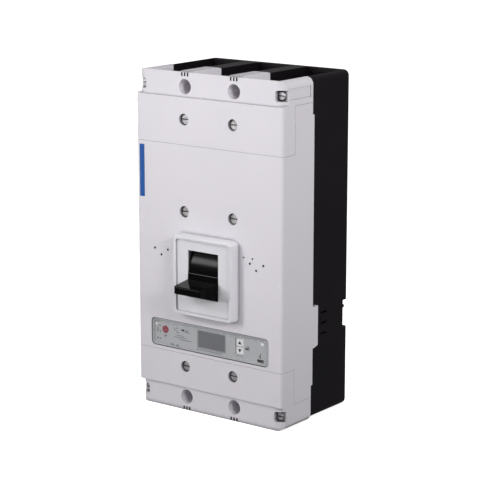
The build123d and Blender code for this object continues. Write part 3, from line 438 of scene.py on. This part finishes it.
def metal(name, tone, cloud, gloss, lines=30.0, crystal=90.0, depth=0.00002, rub=None,
          painted_shade=0.0):
    """Metal from the drawn metal group, with rub and painted shade in its recess over it where
    given.
    """
    material, tree, shader = blank_material(name)
    drawn = place_group(tree, DRAWN_METAL, Tone=tone, Cloud=cloud, Lines=lines,
                        Crystal=crystal, Gloss=gloss)
    colour = drawn.outputs["Tone"]
    if rub is not None:
        edge = place_group(tree, EDGE_RUB, Width=METAL_RUB_WIDTH, Amount=METAL_RUB_AMOUNT)
        colour = layer(tree, colour, edge.outputs["Mask"], rub)
    # Painted shade: darken the metal where it sees little of the sky nearby.
    if painted_shade:
        gap = place_group(tree, PAINTED_GAP_SHADE, Reach=SCREW_REACH, Amount=painted_shade)
        colour = layer(tree, colour, gap.outputs["Mask"], SCREW_PAINTED_SHADE_TONE)
    tree.links.new(colour, shader.inputs["Base Color"])
    tree.links.new(drawn.outputs["Roughness"], shader.inputs["Roughness"])
    bump(tree, shader, drawn.outputs["Height"], depth)
    shader.inputs["Metallic"].default_value = 1.0
    return material


FINISH["zinc"] = metal("zinc_plate", chart(206, 206, 208), chart(176, 177, 180), 0.2,
                       crystal=700.0, rub=chart(236, 236, 238))
# The screws get painted shade where they sit deep in their recesses.
FINISH["screw"] = metal("screw_dull_zinc", chart(214, 212, 214), chart(150, 148, 151), 0.38,
                        crystal=220.0, rub=chart(240, 240, 242), painted_shade=1.0)
FINISH["spring"] = metal("spring_wire", chart(170, 171, 175), chart(140, 141, 146), 0.22)
FINISH["splitter"] = metal("splitter_sheet", chart(168, 150, 140), chart(140, 128, 120), 0.38,
                           crystal=300.0)
FINISH["copper"] = metal("tinned_copper", chart(206, 202, 196), chart(186, 176, 166), 0.26,
                         crystal=240.0, rub=chart(206, 150, 118))
FINISH["strap"] = metal("braided_copper", chart(204, 132, 92), chart(150, 84, 56), 0.34,
                        lines=8.0, crystal=900.0, depth=0.0002)
FINISH["silver"] = metal("silver_alloy_tip", chart(228, 226, 220), chart(206, 203, 196), 0.24,
                         crystal=500.0)
print("finishes so far:", len(FINISH))

# %% [markdown]
# ## Five finishes of their own
#
# The flap over the panel is clear polycarbonate, so it is mostly seen through: a low
# alpha with a smooth surface keeps the panel bright under it. The display is a dark
# liquid crystal cell with very fine lines. The circuit board is green solder mask with
# copper tracks showing through, which a brick texture lays out. The arc chute sides are
# red-brown fibre sheet, and the lamps have small grey lenses.

# %% Clear flap, display, board, fibre and lamp lens
def skin_over(tree, shader, **values):
    """Feed a shader's colour and roughness from the moulded skin, and return the skin."""
    skin = place_group(tree, MOULDED_SKIN, **values)
    tree.links.new(skin.outputs["Tone"], shader.inputs["Base Color"])
    tree.links.new(skin.outputs["Roughness"], shader.inputs["Roughness"])
    return skin


def clear_flap():
    """Clear plastic that is nearly seen through, and denser at its edges."""
    material, tree, shader = blank_material("clear_polycarbonate")
    skin_over(tree, shader, Tone=chart(236, 236, 240), Cloud=chart(228, 229, 234), Grain=60.0,
              Gloss=0.06, Spread=0.04)
    edge = place_group(tree, EDGE_RUB, Width=0.0012, Amount=1.0)
    clear = add(tree, "ShaderNodeMapRange", to_min=0.05, to_max=0.55)
    tree.links.new(edge.outputs["Mask"], clear.inputs["Value"])
    tree.links.new(clear.outputs["Result"], shader.inputs["Alpha"])
    return material


def display_cell():
    """Dark liquid crystal cell with very fine rows, under a smooth coat."""
    material, tree, shader = blank_material("display_cell")
    place = add(tree, "ShaderNodeTexCoord")
    rows = add(tree, "ShaderNodeTexWave", wave_type="BANDS", bands_direction="Z", scale=900)
    cloud = add(tree, "ShaderNodeTexNoise", scale=30, detail=3)
    mix = add(tree, "ShaderNodeMix", data_type="RGBA")
    fine = layer(tree, mix.outputs[2], rows.outputs["Fac"], chart(96, 97, 101))
    mix.inputs[6].default_value = chart(100, 100, 105)
    mix.inputs[7].default_value = chart(112, 112, 117)
    tree.links.new(place.outputs["Object"], rows.inputs["Vector"])
    tree.links.new(place.outputs["Object"], cloud.inputs["Vector"])
    tree.links.new(cloud.outputs["Fac"], mix.inputs[0])
    tree.links.new(fine, shader.inputs["Base Color"])
    shader.inputs["Roughness"].default_value = 0.16
    shader.inputs["Coat Weight"].default_value = 0.6
    shader.inputs["Coat Roughness"].default_value = 0.05
    return material


def circuit_board():
    """Green solder mask with tracks."""
    material, tree, shader = blank_material("board_green_mask")
    place = add(tree, "ShaderNodeTexCoord")
    tracks = add(tree, "ShaderNodeTexBrick", scale=130, mortar_size=0.012)
    tracks.inputs["Color1"].default_value = chart(18, 84, 48)
    tracks.inputs["Color2"].default_value = chart(24, 96, 56)
    tracks.inputs["Mortar"].default_value = chart(70, 140, 84)
    turn = add(tree, "ShaderNodeVectorMath", operation="MULTIPLY")
    turn.inputs[1].default_value = (1, 0.1, 1)
    tree.links.new(place.outputs["Object"], turn.inputs[0])
    tree.links.new(turn.outputs[0], tracks.inputs["Vector"])
    tree.links.new(tracks.outputs["Color"], shader.inputs["Base Color"])
    bump(tree, shader, tracks.outputs["Fac"], 0.00005)
    shader.inputs["Roughness"].default_value = 0.3
    return material


def fibre_sheet():
    """Red-brown fibre sheet of the arc chutes."""
    material, tree, shader = blank_material("arc_chute_fibre")
    skin = skin_over(tree, shader, Tone=chart(150, 74, 54), Cloud=chart(120, 54, 40),
                     Grain=700.0, Gloss=0.7, Spread=0.15)
    bump(tree, shader, skin.outputs["Height"], 0.0001)
    return material


def lamp_lens():
    """Grey lens under a clear coat."""
    material, tree, shader = blank_material("lamp_lens")
    skin_over(tree, shader, Tone=chart(150, 152, 148), Cloud=chart(110, 112, 108),
              Grain=900.0, Gloss=0.12, Spread=0.05)
    shader.inputs["Coat Weight"].default_value = 0.5
    return material


FINISH["flap"] = clear_flap()
FINISH["display"] = display_cell()
FINISH["board"] = circuit_board()
FINISH["fibre"] = fibre_sheet()
FINISH["lens"] = lamp_lens()
print("finishes in all:", len(FINISH))

# %% [markdown]
# ## Dressing the CAD solids
#
# The CAD solids already have the right shapes, so they stay and only get a finish. A
# steel tool leaves no knife edges, so the moulded solids also get a thin bevel. The
# imported meshes have separate corners for each face; a weld joins those first, or the
# bevel would find no edge, and a weighted normal keeps the large faces flat at the end.

# %% Finish and edge radius of each CAD node
def dress(names, finish, radius=0.0):
    """Give CAD nodes a finish, and rounded edges of a radius in metres."""
    for name in names:
        piece = nodes[name]
        piece.data.materials.clear()
        piece.data.materials.append(FINISH[finish])
        if radius:
            weld = piece.modifiers.new("weld", "WELD")
            weld.merge_threshold = 0.00001
            round_off = piece.modifiers.new("edge radius", "BEVEL")
            round_off.width = radius
            round_off.segments = 2
            round_off.limit_method = "ANGLE"
            round_off.angle_limit = math.radians(40)
            round_off.miter_outer = "MITER_ARC"
            piece.modifiers.new("even normals", "WEIGHTED_NORMAL").keep_sharp = True


POLES = ("left", "middle", "right")


def per_pole(stem):
    """Names of a part that each pole has."""
    return [f"{stem}_{pole}" for pole in POLES]


dress(["main_cover", "upper_terminal_cover", "lower_terminal_cover"], "cover", 0.0005)
dress(["escutcheon"], "frame", 0.0006)
dress(["base_housing"], "base", 0.0005)
dress(["toggle_handle"], "lever", 0.0004)
dress(["handle_shield"], "lever")
dress(["trip_unit_housing"], "panel", 0.0002)
dress(["trip_window"], "flap")
dress(["trip_display"], "display")
dress(["up_key", "down_key"], "key", 0.0002)
dress(["enter_key"], "panel", 0.0002)
dress(["trip_button"], "button", 0.0002)
dress(["accent_stripe"], "stripe")
dress(["test_port"], "port")
dress(["status_lamps"], "lens")
dress(["trip_circuit_board"], "board")
dress(["current_sensors", "trip_release"], "resin")
dress(["contact_shaft", "release_plunger"], "shaft")
dress(["end_cover_screws", "middle_cover_screws", "corner_screws"], "screw", 0.00025)
dress(["terminal_bolts", "terminal_nuts", "terminal_washers"], "zinc", 0.0003)
dress(["mechanism_side_plates", "cradle", "upper_links", "lower_links", "toggle_yoke",
       "primary_latch", "trip_bar", "shaft_core"], "zinc")
dress(["toggle_springs", "contact_springs", "trip_button_spring"], "spring")
dress(["fixed_contacts", "moving_contacts"], "silver")
dress(["flexible_straps"], "strap")
dress(per_pole("line_terminal") + per_pole("load_terminal") + per_pole("contact_arm"), "copper",
      0.0003)
dress(per_pole("arc_chute_frame"), "fibre")
dress(per_pole("splitter_plates"), "splitter")
bare = [name for name, piece in nodes.items() if not piece.data.materials[0].use_nodes]
print("nodes without a finish:", bare)

# %% [markdown]
# ## Marks and symbols on the panel
#
# The keys carry raised arrows, and the panel has printed marks beside its lamps, socket
# and display. All are drawn from generic shapes, with no lettering. A mark is a thin
# prism, so even a printed line has a body of its own: its outline is drawn flat in the
# plane of the panel and pushed back a little, and where an edge is given, as on the
# arrows of the up and down keys, its front edge is bevelled. A line mark is the same
# prism round a bent stroke.

# %% Prism and stroke helpers
def finished_mesh(name, shape, finish, body):
    """Mesh object from a bmesh, on a CAD body, with a finish."""
    bmesh.ops.recalc_face_normals(shape, faces=shape.faces)
    mesh = bpy.data.meshes.new(name)
    shape.to_mesh(mesh)
    shape.free()
    mesh.materials.append(FINISH[finish])
    piece = bpy.data.objects.new(name, mesh)
    bpy.context.scene.collection.objects.link(piece)
    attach(piece, body)
    return piece


def add_prism(shape, outline, front, back, edge):
    """Add a prism to a bmesh from an outline of x, z points in mm, bevelled at the front when an
    edge is given.
    """
    ring = [shape.verts.new((x * MM, front * MM, z * MM)) for x, z in outline]
    face = shape.faces.new(ring)
    pushed = bmesh.ops.extrude_face_region(shape, geom=[face])["geom"]
    moved = [part for part in pushed if isinstance(part, bmesh.types.BMVert)]
    bmesh.ops.translate(shape, verts=moved, vec=(0, (back - front) * MM, 0))
    if edge:
        bmesh.ops.bevel(shape, geom=list(face.edges), offset=edge * MM, segments=2,
                        affect="EDGES", profile=0.5)


def stroke_outline(points, width):
    """Outline of a bent line of even width, with mitred corners."""
    left, right = [], []
    for i, here in enumerate(points):
        before = Vector(points[max(i - 1, 0)])
        after = Vector(points[min(i + 1, len(points) - 1)])
        into = (Vector(here) - before).normalized() if i else None
        out = (after - Vector(here)).normalized() if i < len(points) - 1 else None
        into = into or out
        out = out or into
        middle = (into + out).normalized()
        reach = width / 2 / max(middle.dot(out), 0.4)
        side = Vector((-middle.y, middle.x)) * reach
        left.append((here[0] + side.x, here[1] + side.y))
        right.append((here[0] - side.x, here[1] - side.y))
    return left + right[::-1]


def disc_outline(x, z, radius, count=20):
    """Outline of a round dot."""
    turn = math.tau / count
    return [(x + radius * math.cos(i * turn), z + radius * math.sin(i * turn))
            for i in range(count)]


def bar_outline(x0, x1, z0, z1):
    """Outline of an upright rectangle."""
    return [(x0, z0), (x1, z0), (x1, z1), (x0, z1)]


def marks(name, outlines, front, finish, body="housing", depth=0.12,
          edge=0.0):
    """One piece of thin prisms, made from outlines in the plane of the panel."""
    shape = bmesh.new()
    for outline in outlines:
        add_prism(shape, outline, front, front + depth, edge)
    return finished_mesh(name, shape, finish, body)


Box = namedtuple("Box", "middle low high")


def box_of(node):
    """Middle and both corners of a CAD node's box, in mm."""
    low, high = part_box(node)
    return Box((low + high) / 2 / MM, low / MM, high / MM)


panel = box_of("trip_unit_housing")
display = box_of("trip_display")
print("panel face in mm: x", round(panel.low.x), "to", round(panel.high.x))

# %% Arrows on the keys
ARROW_LIFT = 0.1           # how far an arrow stands out of its key
ARROW_DEPTH = 0.2
ARROW_HALF = 2.5
for key, way in (("up_key", 1), ("down_key", -1)):
    face = box_of(key)
    x, z = face.middle.x, face.middle.z
    foot = z - 2.0 * way
    arrow = [(x - ARROW_HALF, foot), (x + ARROW_HALF, foot), (x, z + 2.3 * way)]
    marks(key + "_arrow", [arrow], face.low.y - ARROW_LIFT, "black_ink", key,
          ARROW_DEPTH, edge=0.04)
face = box_of("enter_key")
x, z = face.middle.x, face.middle.z
hook = stroke_outline([(x + 1.6, z + 2.1), (x + 1.6, z - 0.7), (x - 0.6, z - 0.7)], 1.3)
head = [(x - 0.5, z + 1.2), (x - 2.7, z - 0.7), (x - 0.5, z - 2.2)]
marks("enter_key_arrow", [hook, head], face.low.y - ARROW_LIFT, "black_ink", "enter_key",
      ARROW_DEPTH)
print("enter arrow at", round(x, 1), round(z, 1))

# %% Printed marks round the display, lamps and socket
PRINT_Y = -134.66          # front of the print, just proud of the panel's face
LINE_W = 0.5
STROKE_W = 0.7
SURROUND_GAP = 1.1
LAMP_ROWS = (-103.5, -110.2, -119.2)
lamps = box_of("status_lamps")
port = box_of("test_port")
button = box_of("trip_button")

x0, x1 = display.low.x - SURROUND_GAP, display.high.x + SURROUND_GAP
z0, z1 = display.low.z - SURROUND_GAP, display.high.z + SURROUND_GAP
surround = [bar_outline(x0, x1, z0, z0 + LINE_W), bar_outline(x0, x1, z1 - LINE_W, z1),
            bar_outline(x0, x0 + LINE_W, z0 + LINE_W, z1 - LINE_W),
            bar_outline(x1 - LINE_W, x1, z0 + LINE_W, z1 - LINE_W)]
marks("display_surround", surround, PRINT_Y, "pale_ink")

left = button.high.x + 8.6
curve = [(0, -103.0), (1.6, -105.6), (4.2, -106.8), (4.2, -108.4), (8.2, -108.4)]
fine_lines = [stroke_outline([(left + x, z) for x, z in curve], STROKE_W)]
for row, (start, end) in enumerate(((3, 15), (0, 19), (8, 26))):
    z = -111.6 - row * 2.3
    fine_lines.append(bar_outline(left + start, left + end, z - 0.3, z + 0.3))
marks("trip_curve_and_lines", fine_lines, PRINT_Y, "pale_ink")

blocks = ((11.2, 15.6, -105.4, -103.2), (17.4, 18.8, -106.4, -103.6),
          (20.2, 22.6, -106.6, -105.6), (20.2, 21.0, -105.0, -103.4),
          (3.6, 5.2, -103.6, -102.4))
marks("panel_dark_marks", [bar_outline(left + start, left + end, low, high)
                           for start, end, low, high in blocks], PRINT_Y, "ink")

tick_marks = []
for z in LAMP_ROWS:
    tick = lamps.high.x + 1.3
    tick_marks.append(bar_outline(tick, lamps.high.x + 4.0, z - 0.35, z + 0.35))
    tick_marks.append(bar_outline(tick, lamps.high.x + 2.9, z - 1.5, z - 1.0))
x = lamps.middle.x
tick_marks.append([(x - 1.2, -108.2), (x + 1.2, -108.2), (x, -106.0)])
marks("lamp_ticks", tick_marks, PRINT_Y, "ink")

x = button.middle.x
under_button = [bar_outline(x - 1.8, x + 1.8, -115.0, -114.0),
                bar_outline(x - 1.0, x + 1.0, -116.6, -115.9)]
x, top = port.middle.x, port.high.z
plug_sign = [stroke_outline([(x, top + 1.4), (x, top + 5.6)], STROKE_W),
             stroke_outline([(x - 1.6, top + 4.4), (x - 1.6, top + 3.0), (x, top + 2.0)], STROKE_W),
             disc_outline(x, top + 6.1, 0.7)]
marks("small_panel_marks", under_button + plug_sign, PRINT_Y, "ink")

key = box_of("up_key")
field_z = (box_of("down_key").low.z - 0.9, key.high.z + 0.9)
marks("key_field_line", [bar_outline(key.low.x - 2.3, key.low.x - 1.3, *field_z)], PRINT_Y, "ink")
under_keys = [bar_outline(key.low.x - 0.8 + step * 2.6, key.low.x + 0.8 + step * 2.6,
                          field_z[0] - 1.9, field_z[0] - 1.2) for step in range(4)]
marks("ticks_under_keys", under_keys, PRINT_Y, "pale_ink")
white_field = [bar_outline(key.low.x - 1.1, key.low.x - 0.5, *field_z),
               bar_outline(key.high.x + 0.5, key.high.x + 1.1, *field_z)]
marks("key_field_sides", white_field, PRINT_Y, "key")
print("marks under the keys:", len(under_keys), "lamp ticks:", len(tick_marks))

# %% [markdown]
# ## Dark lip round the panel
#
# A thin dark lip closes the gap between the trip unit and the cover. It is a band between
# two rounded outlines with the same number of points, so each pair of points makes one
# face. The row of ticks under the display stands for its printed scale, with no letters.

# %% Lip and display scale
def rounded_outline(x0, x1, z0, z1, radius, steps=8):
    """Outline of a rectangle with round corners."""
    corners = ((x1 - radius, z1 - radius, 0), (x0 + radius, z1 - radius, 1),
               (x0 + radius, z0 + radius, 2), (x1 - radius, z0 + radius, 3))
    return [(x + radius * math.cos((quarter + k / steps) * math.pi / 2),
             z + radius * math.sin((quarter + k / steps) * math.pi / 2))
            for x, z, quarter in corners for k in range(steps + 1)]


def add_band(shape, outer, inner, front, back):
    """Add a closed band between two outlines with as many points, in mm."""
    loops = [[shape.verts.new((x * MM, y * MM, z * MM)) for x, z in line]
             for line, y in ((outer, front), (outer, back), (inner, back), (inner, front))]
    for near, far in zip(loops, loops[1:] + loops[:1]):
        for k in range(len(near)):
            shape.faces.new((near[k - 1], near[k], far[k], far[k - 1]))


LIP_W = 0.45
CORNER_R = 5.0
outside = rounded_outline(panel.low.x, panel.high.x, panel.low.z, panel.high.z, CORNER_R)
inside = rounded_outline(panel.low.x + LIP_W, panel.high.x - LIP_W, panel.low.z + LIP_W,
                         panel.high.z - LIP_W, CORNER_R - LIP_W)
shape = bmesh.new()
add_band(shape, outside, inside, panel.low.y - 0.05, panel.low.y + 0.6)
finished_mesh("panel_lip", shape, "ink", "housing")
SCALE_Z = (-123.9, -122.9)
TICK_WIDTHS = (1.8, 0.9, 2.4, 1.2, 2.0, 0.8, 1.6, 2.6, 1.0, 1.9, 1.3, 2.2, 0.9, 1.7)
TICK_GAP = 1.1
scale_ticks = []
reach = display.low.x - 1.5
for width in TICK_WIDTHS:
    scale_ticks.append(bar_outline(reach, reach + width, *SCALE_Z))
    reach += width + TICK_GAP
marks("display_scale", scale_ticks, PRINT_Y, "ink")
print("lip width in mm:", LIP_W, "ticks:", len(scale_ticks))

# %% [markdown]
# ## Painted shadow rings under the cover screws
#
# Each cover screw is given a black ring at the bottom of its recess, which shows as a dark
# ring round the head: a painted shadow of the gap round the head. The ring is flat with
# rounded edges: its section is turned round the screw's axis. They are placed from the
# boxes of the screws.

# %% Screw shadow rings
def turned_ring(shape, x, y, z, inner, outer, height, sides=36):
    """Add a flat ring with rounded corners round an axis along Y, in mm."""
    soft = min(0.35, height / 3)
    section = [(inner, 0), (outer - soft, 0), (outer, soft), (outer, height), (inner, height)]
    rings = []
    for k in range(sides):
        turn = k * math.tau / sides
        rings.append([shape.verts.new(((x + r * math.cos(turn)) * MM, (y + down) * MM,
                                       (z + r * math.sin(turn)) * MM)) for r, down in section])
    for k in range(sides):
        near, far = rings[k - 1], rings[k]
        for j in range(len(section)):
            shape.faces.new((near[j - 1], near[j], far[j], far[j - 1]))


# The black rings under the heads paint the shadow in the gap round each head.
HEAD_R = 6.0
SHADOW_RING_DROP = 1.2            # from the top of the head down to the seal
SHADOW_RING_H = 0.9
screws = box_of("end_cover_screws")
screw_rows = (screws.low.z + HEAD_R, box_of("middle_cover_screws").middle.z,
              screws.high.z - HEAD_R)
shape = bmesh.new()
for x in (screws.low.x + HEAD_R, screws.high.x - HEAD_R):
    for z in screw_rows:
        turned_ring(shape, x, screws.low.y + SHADOW_RING_DROP, z, HEAD_R - 0.9, HEAD_R + 0.7, SHADOW_RING_H)
# Painted shadow: black rings round the screw heads.
finished_mesh("screw_shadow_rings", shape, "black_ink", "housing")
print("seals at heights", [round(z, 1) for z in screw_rows])

# %% [markdown]
# ## White tabs under the clear flap
#
# Two small white tabs show at the upper corners of the panel, where the flap's hinge lugs
# glint: their white is a painted highlight. They ride on the housing, and they stand just
# under the flap.

# %% Flap corner glints
TAB_Z = (-103.4, -100.6)
shape = bmesh.new()
for x0, x1 in ((panel.low.x + 3.0, panel.low.x + 6.6), (panel.high.x - 12.2, panel.high.x - 8.2)):
    add_prism(shape, bar_outline(x0, x1, *TAB_Z), PRINT_Y - 0.7, PRINT_Y + 0.4, 0.25)
# Painted highlight: white tabs for the glints of the flap's hinge lugs.
finished_mesh("flap_corner_glints", shape, "key", "housing")
print("tabs between heights", TAB_Z)

# %% [markdown]
# ## Index slots and finger ridges at both ends
#
# Above the upper mounting wells and below the lower ones are three short slots with dark
# inlays. The top of the upper end cover has fine ridges between the terminals that give a
# finger some grip.
# Both are prisms. The ridges are drawn in the same upright plane, as a thin saw-toothed
# row that runs back from the front of the end cover.

# %% Slot inlays and ridges
STEP_DOWN = 2.5            # the end face lies this far behind the cover's front
RIB_X = (-35.0, 35.0)
INLAY_HALF = 1.05
INLAY_PITCH = 4.2
RIDGE_COUNT = 9
RIDGE_PITCH = 2.2
RIDGE_HIGH = 0.9
RIDGE_BACK = -84.0
end_top = cad_box[1].z / MM
inlay_y = box_of("upper_terminal_cover").low.y + STEP_DOWN - 0.06
ridge_y = inlay_y + 4.9
inlays = [bar_outline(x + slot - INLAY_HALF, x + slot + INLAY_HALF,
                      *sorted((way * (end_top - 4.4), way * (end_top - 0.2))))
          for x in RIB_X for slot in (-INLAY_PITCH, 0, INLAY_PITCH) for way in (-1, 1)]
marks("slot_inlays", inlays, inlay_y, "black_ink", depth=1.2)
ridges = []
for x in RIB_X:
    for step in range(RIDGE_COUNT):
        mid = x - 8.8 + step * RIDGE_PITCH
        ridges.append([(mid - 0.6, end_top - 0.05), (mid - 0.25, end_top + RIDGE_HIGH),
                       (mid + 0.25, end_top + RIDGE_HIGH), (mid + 0.6, end_top - 0.05)])
marks("finger_ridges", ridges, ridge_y, "cover",
      depth=RIDGE_BACK - ridge_y)
print("inlays:", len(inlays), "ridges:", len(ridges))

# %% [markdown]
# ## Painted highlight on the lever's flange
#
# The lever has a thin flange that lies on the curved shield. Its top edge is a moulded
# bead that catches the light as one fine line; here the bead's grey colour on the black
# lever is a painted highlight of that line. A bead is a round section pushed along a
# line, so it is swept with the same helper that winds the springs below.

# %% Sweep helper and the bead
def swept_tube(shape, line, radius, sides=10):
    """Add a closed round tube along a list of points in metres."""
    rings = []
    for i, here in enumerate(line):
        along = (line[min(i + 1, len(line) - 1)] - line[max(i - 1, 0)]).normalized()
        side = along.cross(Vector((0, 0, 1)))
        if side.length < 0.1:
            side = along.cross(Vector((1, 0, 0)))
        side.normalize()
        up = side.cross(along)
        rings.append([shape.verts.new(here + radius * (side * math.cos(k * math.tau / sides)
                                                       + up * math.sin(k * math.tau / sides)))
                      for k in range(sides)])
    for near, far in zip(rings, rings[1:]):
        for k in range(sides):
            shape.faces.new((near[k - 1], near[k], far[k], far[k - 1])).smooth = True
    shape.faces.new(rings[0])
    shape.faces.new(rings[-1])


FLANGE_TOP = (-148.66, -29.3)
BEAD_R = 0.3
bead_half = box_of("handle_shield").high.x - 0.5
shape = bmesh.new()
bead_line = [Vector((x, *FLANGE_TOP)) * MM for x in (-bead_half, 0, bead_half)]
swept_tube(shape, bead_line, BEAD_R * MM)
# Grey finish: a painted highlight along the flange's top edge.
finished_mesh("flange_highlight_bead", shape, "bead", "toggle")
print("bead length in mm:", round(2 * bead_half, 1))

# %% [markdown]
# ## Wound springs
#
# The CAD has its springs as plain tubes. A real one is wire wound in a helix, with its
# last turn at each end laid flat, so that it sits square. Each tube is replaced with a
# swept helix on the tube's own axis, whose pitch is tighter at both ends.

# %% Helix and the three sets of springs
def wound_line(middle, axis, length, radius, turns):
    """Points of a helix in metres, whose turns lie closer at both ends."""
    axis = Vector(axis).normalized()
    across = axis.cross(Vector((1, 0, 0)))
    if across.length < 0.1:
        across = axis.cross(Vector((0, 1, 0)))
    across.normalize()
    other = axis.cross(across)
    steps = int(turns * 20)
    line = []
    for i in range(steps + 1):
        share = i / steps
        eased = share - math.sin(share * math.tau) / math.tau * 0.55
        turn = share * turns * math.tau
        line.append(middle + axis * length * (eased - 0.5)
                    + radius * (across * math.cos(turn) + other * math.sin(turn)))
    return [point * MM for point in line]


def wind_springs(node, body, places, axis, length, radius, wire, turns):
    """Replace a CAD node of tubes with wound springs, with sizes in mm."""
    shape = bmesh.new()
    for place in places:
        line = wound_line(Vector(place), axis, length - 2 * wire, radius, turns)
        swept_tube(shape, line, wire * MM)
    piece = finished_mesh(node + "_wound", shape, "spring", body)
    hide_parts(node)
    print(node, "wound:", len(places))
    return piece


pair = box_of("toggle_springs").middle
wind_springs("toggle_springs", "toggle", [(x, pair.y, pair.z) for x in (-8, 8)],
             axis=(0, 32.06, 12.52), length=34.4, radius=3.45, wire=0.7, turns=13)
row = box_of("contact_springs").middle
wind_springs("contact_springs", "contact_shaft", [(x, row.y, row.z) for x in (-70, 0, 70)],
             axis=(0, 0.8988, 0.4384), length=6.4, radius=3.75, wire=0.6, turns=4)
push_mid, push_low, push_high = box_of("trip_button_spring")
push_spring = wind_springs("trip_button_spring", "housing", [push_mid], axis=(0, 1, 0),
                           length=push_high.y - push_low.y, radius=3.4, wire=0.4, turns=4)
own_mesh(push_spring)

# %% [markdown]
# ## Camera
#
# The breaker is seen from the right and a little above, from about two metres away with
# a long lens, so its upright edges stay nearly parallel. The camera is aimed with a
# direction turned into a rotation, which is simpler to read than three angles.

# %% Camera
CAMERA_PLACE = (1.2597, -1.7449, 0.4628)
AIM = Vector((-0.0021, -0.070, -0.0048))
SENSOR_MM = 36
LENS_MM = 135.43
camera = bpy.data.objects.new("camera", bpy.data.cameras.new("camera"))
bpy.context.scene.collection.objects.link(camera)
bpy.context.scene.camera = camera
camera.location = CAMERA_PLACE
camera.rotation_euler = (AIM - camera.location).to_track_quat("-Z", "Y").to_euler()
camera.data.sensor_width = SENSOR_MM
camera.data.lens = LENS_MM
print("camera to aim point:", round((AIM - camera.location).length, 3), "m")

# %% [markdown]
# ## Light
#
# Three softboxes do the work of a small product studio. A low strip at the front left
# draws the soft streak on the curved lever shield and throws the lever's shadow to the
# right. A larger box above it is aimed at the upper half and has a narrow spread, like a
# box with a honeycomb grid, so the light falls off towards the foot of the breaker. A
# weak box on the right does the same for the side. The world is a pale room that is
# darker below, mixed by the height of the direction that a ray takes.

# %% Softboxes and the room
def softbox(name, place, aim, width, height, watts, spread=180.0):
    """Rectangular light at a place in metres, aimed at a point."""
    data = bpy.data.lights.new(name, "AREA")
    data.shape = "RECTANGLE"
    data.size = width
    data.size_y = height
    data.energy = watts
    data.spread = math.radians(spread)
    lamp = bpy.data.objects.new(name, data)
    bpy.context.scene.collection.objects.link(lamp)
    lamp.location = place
    lamp.rotation_euler = (Vector(aim) - Vector(place)).to_track_quat("-Z", "Y").to_euler()


softbox("strip_front_left", (-1.33, -1.79, 0.43), (0, -0.14, -0.05), 0.8, 0.24, 12.0)
softbox("grid_box_high", (-0.8, -1.3, 0.85), (0, -0.14, 0.22), 0.5, 0.5, 0.5, 36)
softbox("grid_box_side", (1.7, -0.9, 0.8), (0.1, -0.06, 0.2), 0.5, 0.5, 1.1, 40)

ROOM_BELOW = 0.20
ROOM_LEVEL = 0.33
ROOM_ABOVE = 0.55
world = bpy.data.worlds.new("pale_room")
bpy.context.scene.world = world
world.use_nodes = True
room = world.node_tree
direction = add(room, "ShaderNodeTexCoord")
split = add(room, "ShaderNodeSeparateXYZ")
share = add(room, "ShaderNodeMapRange", from_min=-1.0)
ramp = add(room, "ShaderNodeValToRGB")
ramp.color_ramp.elements[0].color = (ROOM_BELOW, ROOM_BELOW, ROOM_BELOW, 1)
ramp.color_ramp.elements[1].color = (ROOM_ABOVE, ROOM_ABOVE, ROOM_ABOVE, 1)
ramp.color_ramp.elements.new(0.5).color = (ROOM_LEVEL, ROOM_LEVEL, ROOM_LEVEL, 1)
room.links.new(direction.outputs["Generated"], split.inputs[0])
room.links.new(split.outputs["Z"], share.inputs["Value"])
room.links.new(share.outputs["Result"], ramp.inputs["Fac"])
room.links.new(ramp.outputs["Color"], room.nodes["Background"].inputs["Color"])
bpy.context.scene.view_settings.view_transform = "Standard"
print("softboxes:", [lamp.name for lamp in bpy.data.lights])

# %% [markdown]
# ## Floor
#
# The floor is one large sheet of pale paper at the foot of the breaker. It glows a
# little, so that it stays pale without strong light on it, and it is kept out of the
# light that bounces onto the breaker, which would flatten the shading of the front.

# %% Floor
FLOOR_REACH = 14.0
FLOOR_GLOW = 0.75
floor_z = cad_box[0].z
corners = [(x * FLOOR_REACH, y * FLOOR_REACH, floor_z)
           for x, y in ((-1, -1), (1, -1), (1, 1), (-1, 1))]
floor_mesh = bpy.data.meshes.new("floor")
floor_mesh.from_pydata(corners, [], [(0, 1, 2, 3)])
floor = bpy.data.objects.new("floor", floor_mesh)
bpy.context.scene.collection.objects.link(floor)
floor_finish, floor_tree, floor_shader = blank_material("floor_pale_paper")
floor_shader.inputs["Base Color"].default_value = (0.93, 0.93, 0.93, 1)
floor_shader.inputs["Roughness"].default_value = 0.9
floor_shader.inputs["Emission Color"].default_value = (1, 1, 1, 1)
floor_shader.inputs["Emission Strength"].default_value = FLOOR_GLOW
floor_mesh.materials.append(floor_finish)
floor.visible_diffuse = False
floor.visible_glossy = False
print("floor at", round(floor_z, 4), "m")
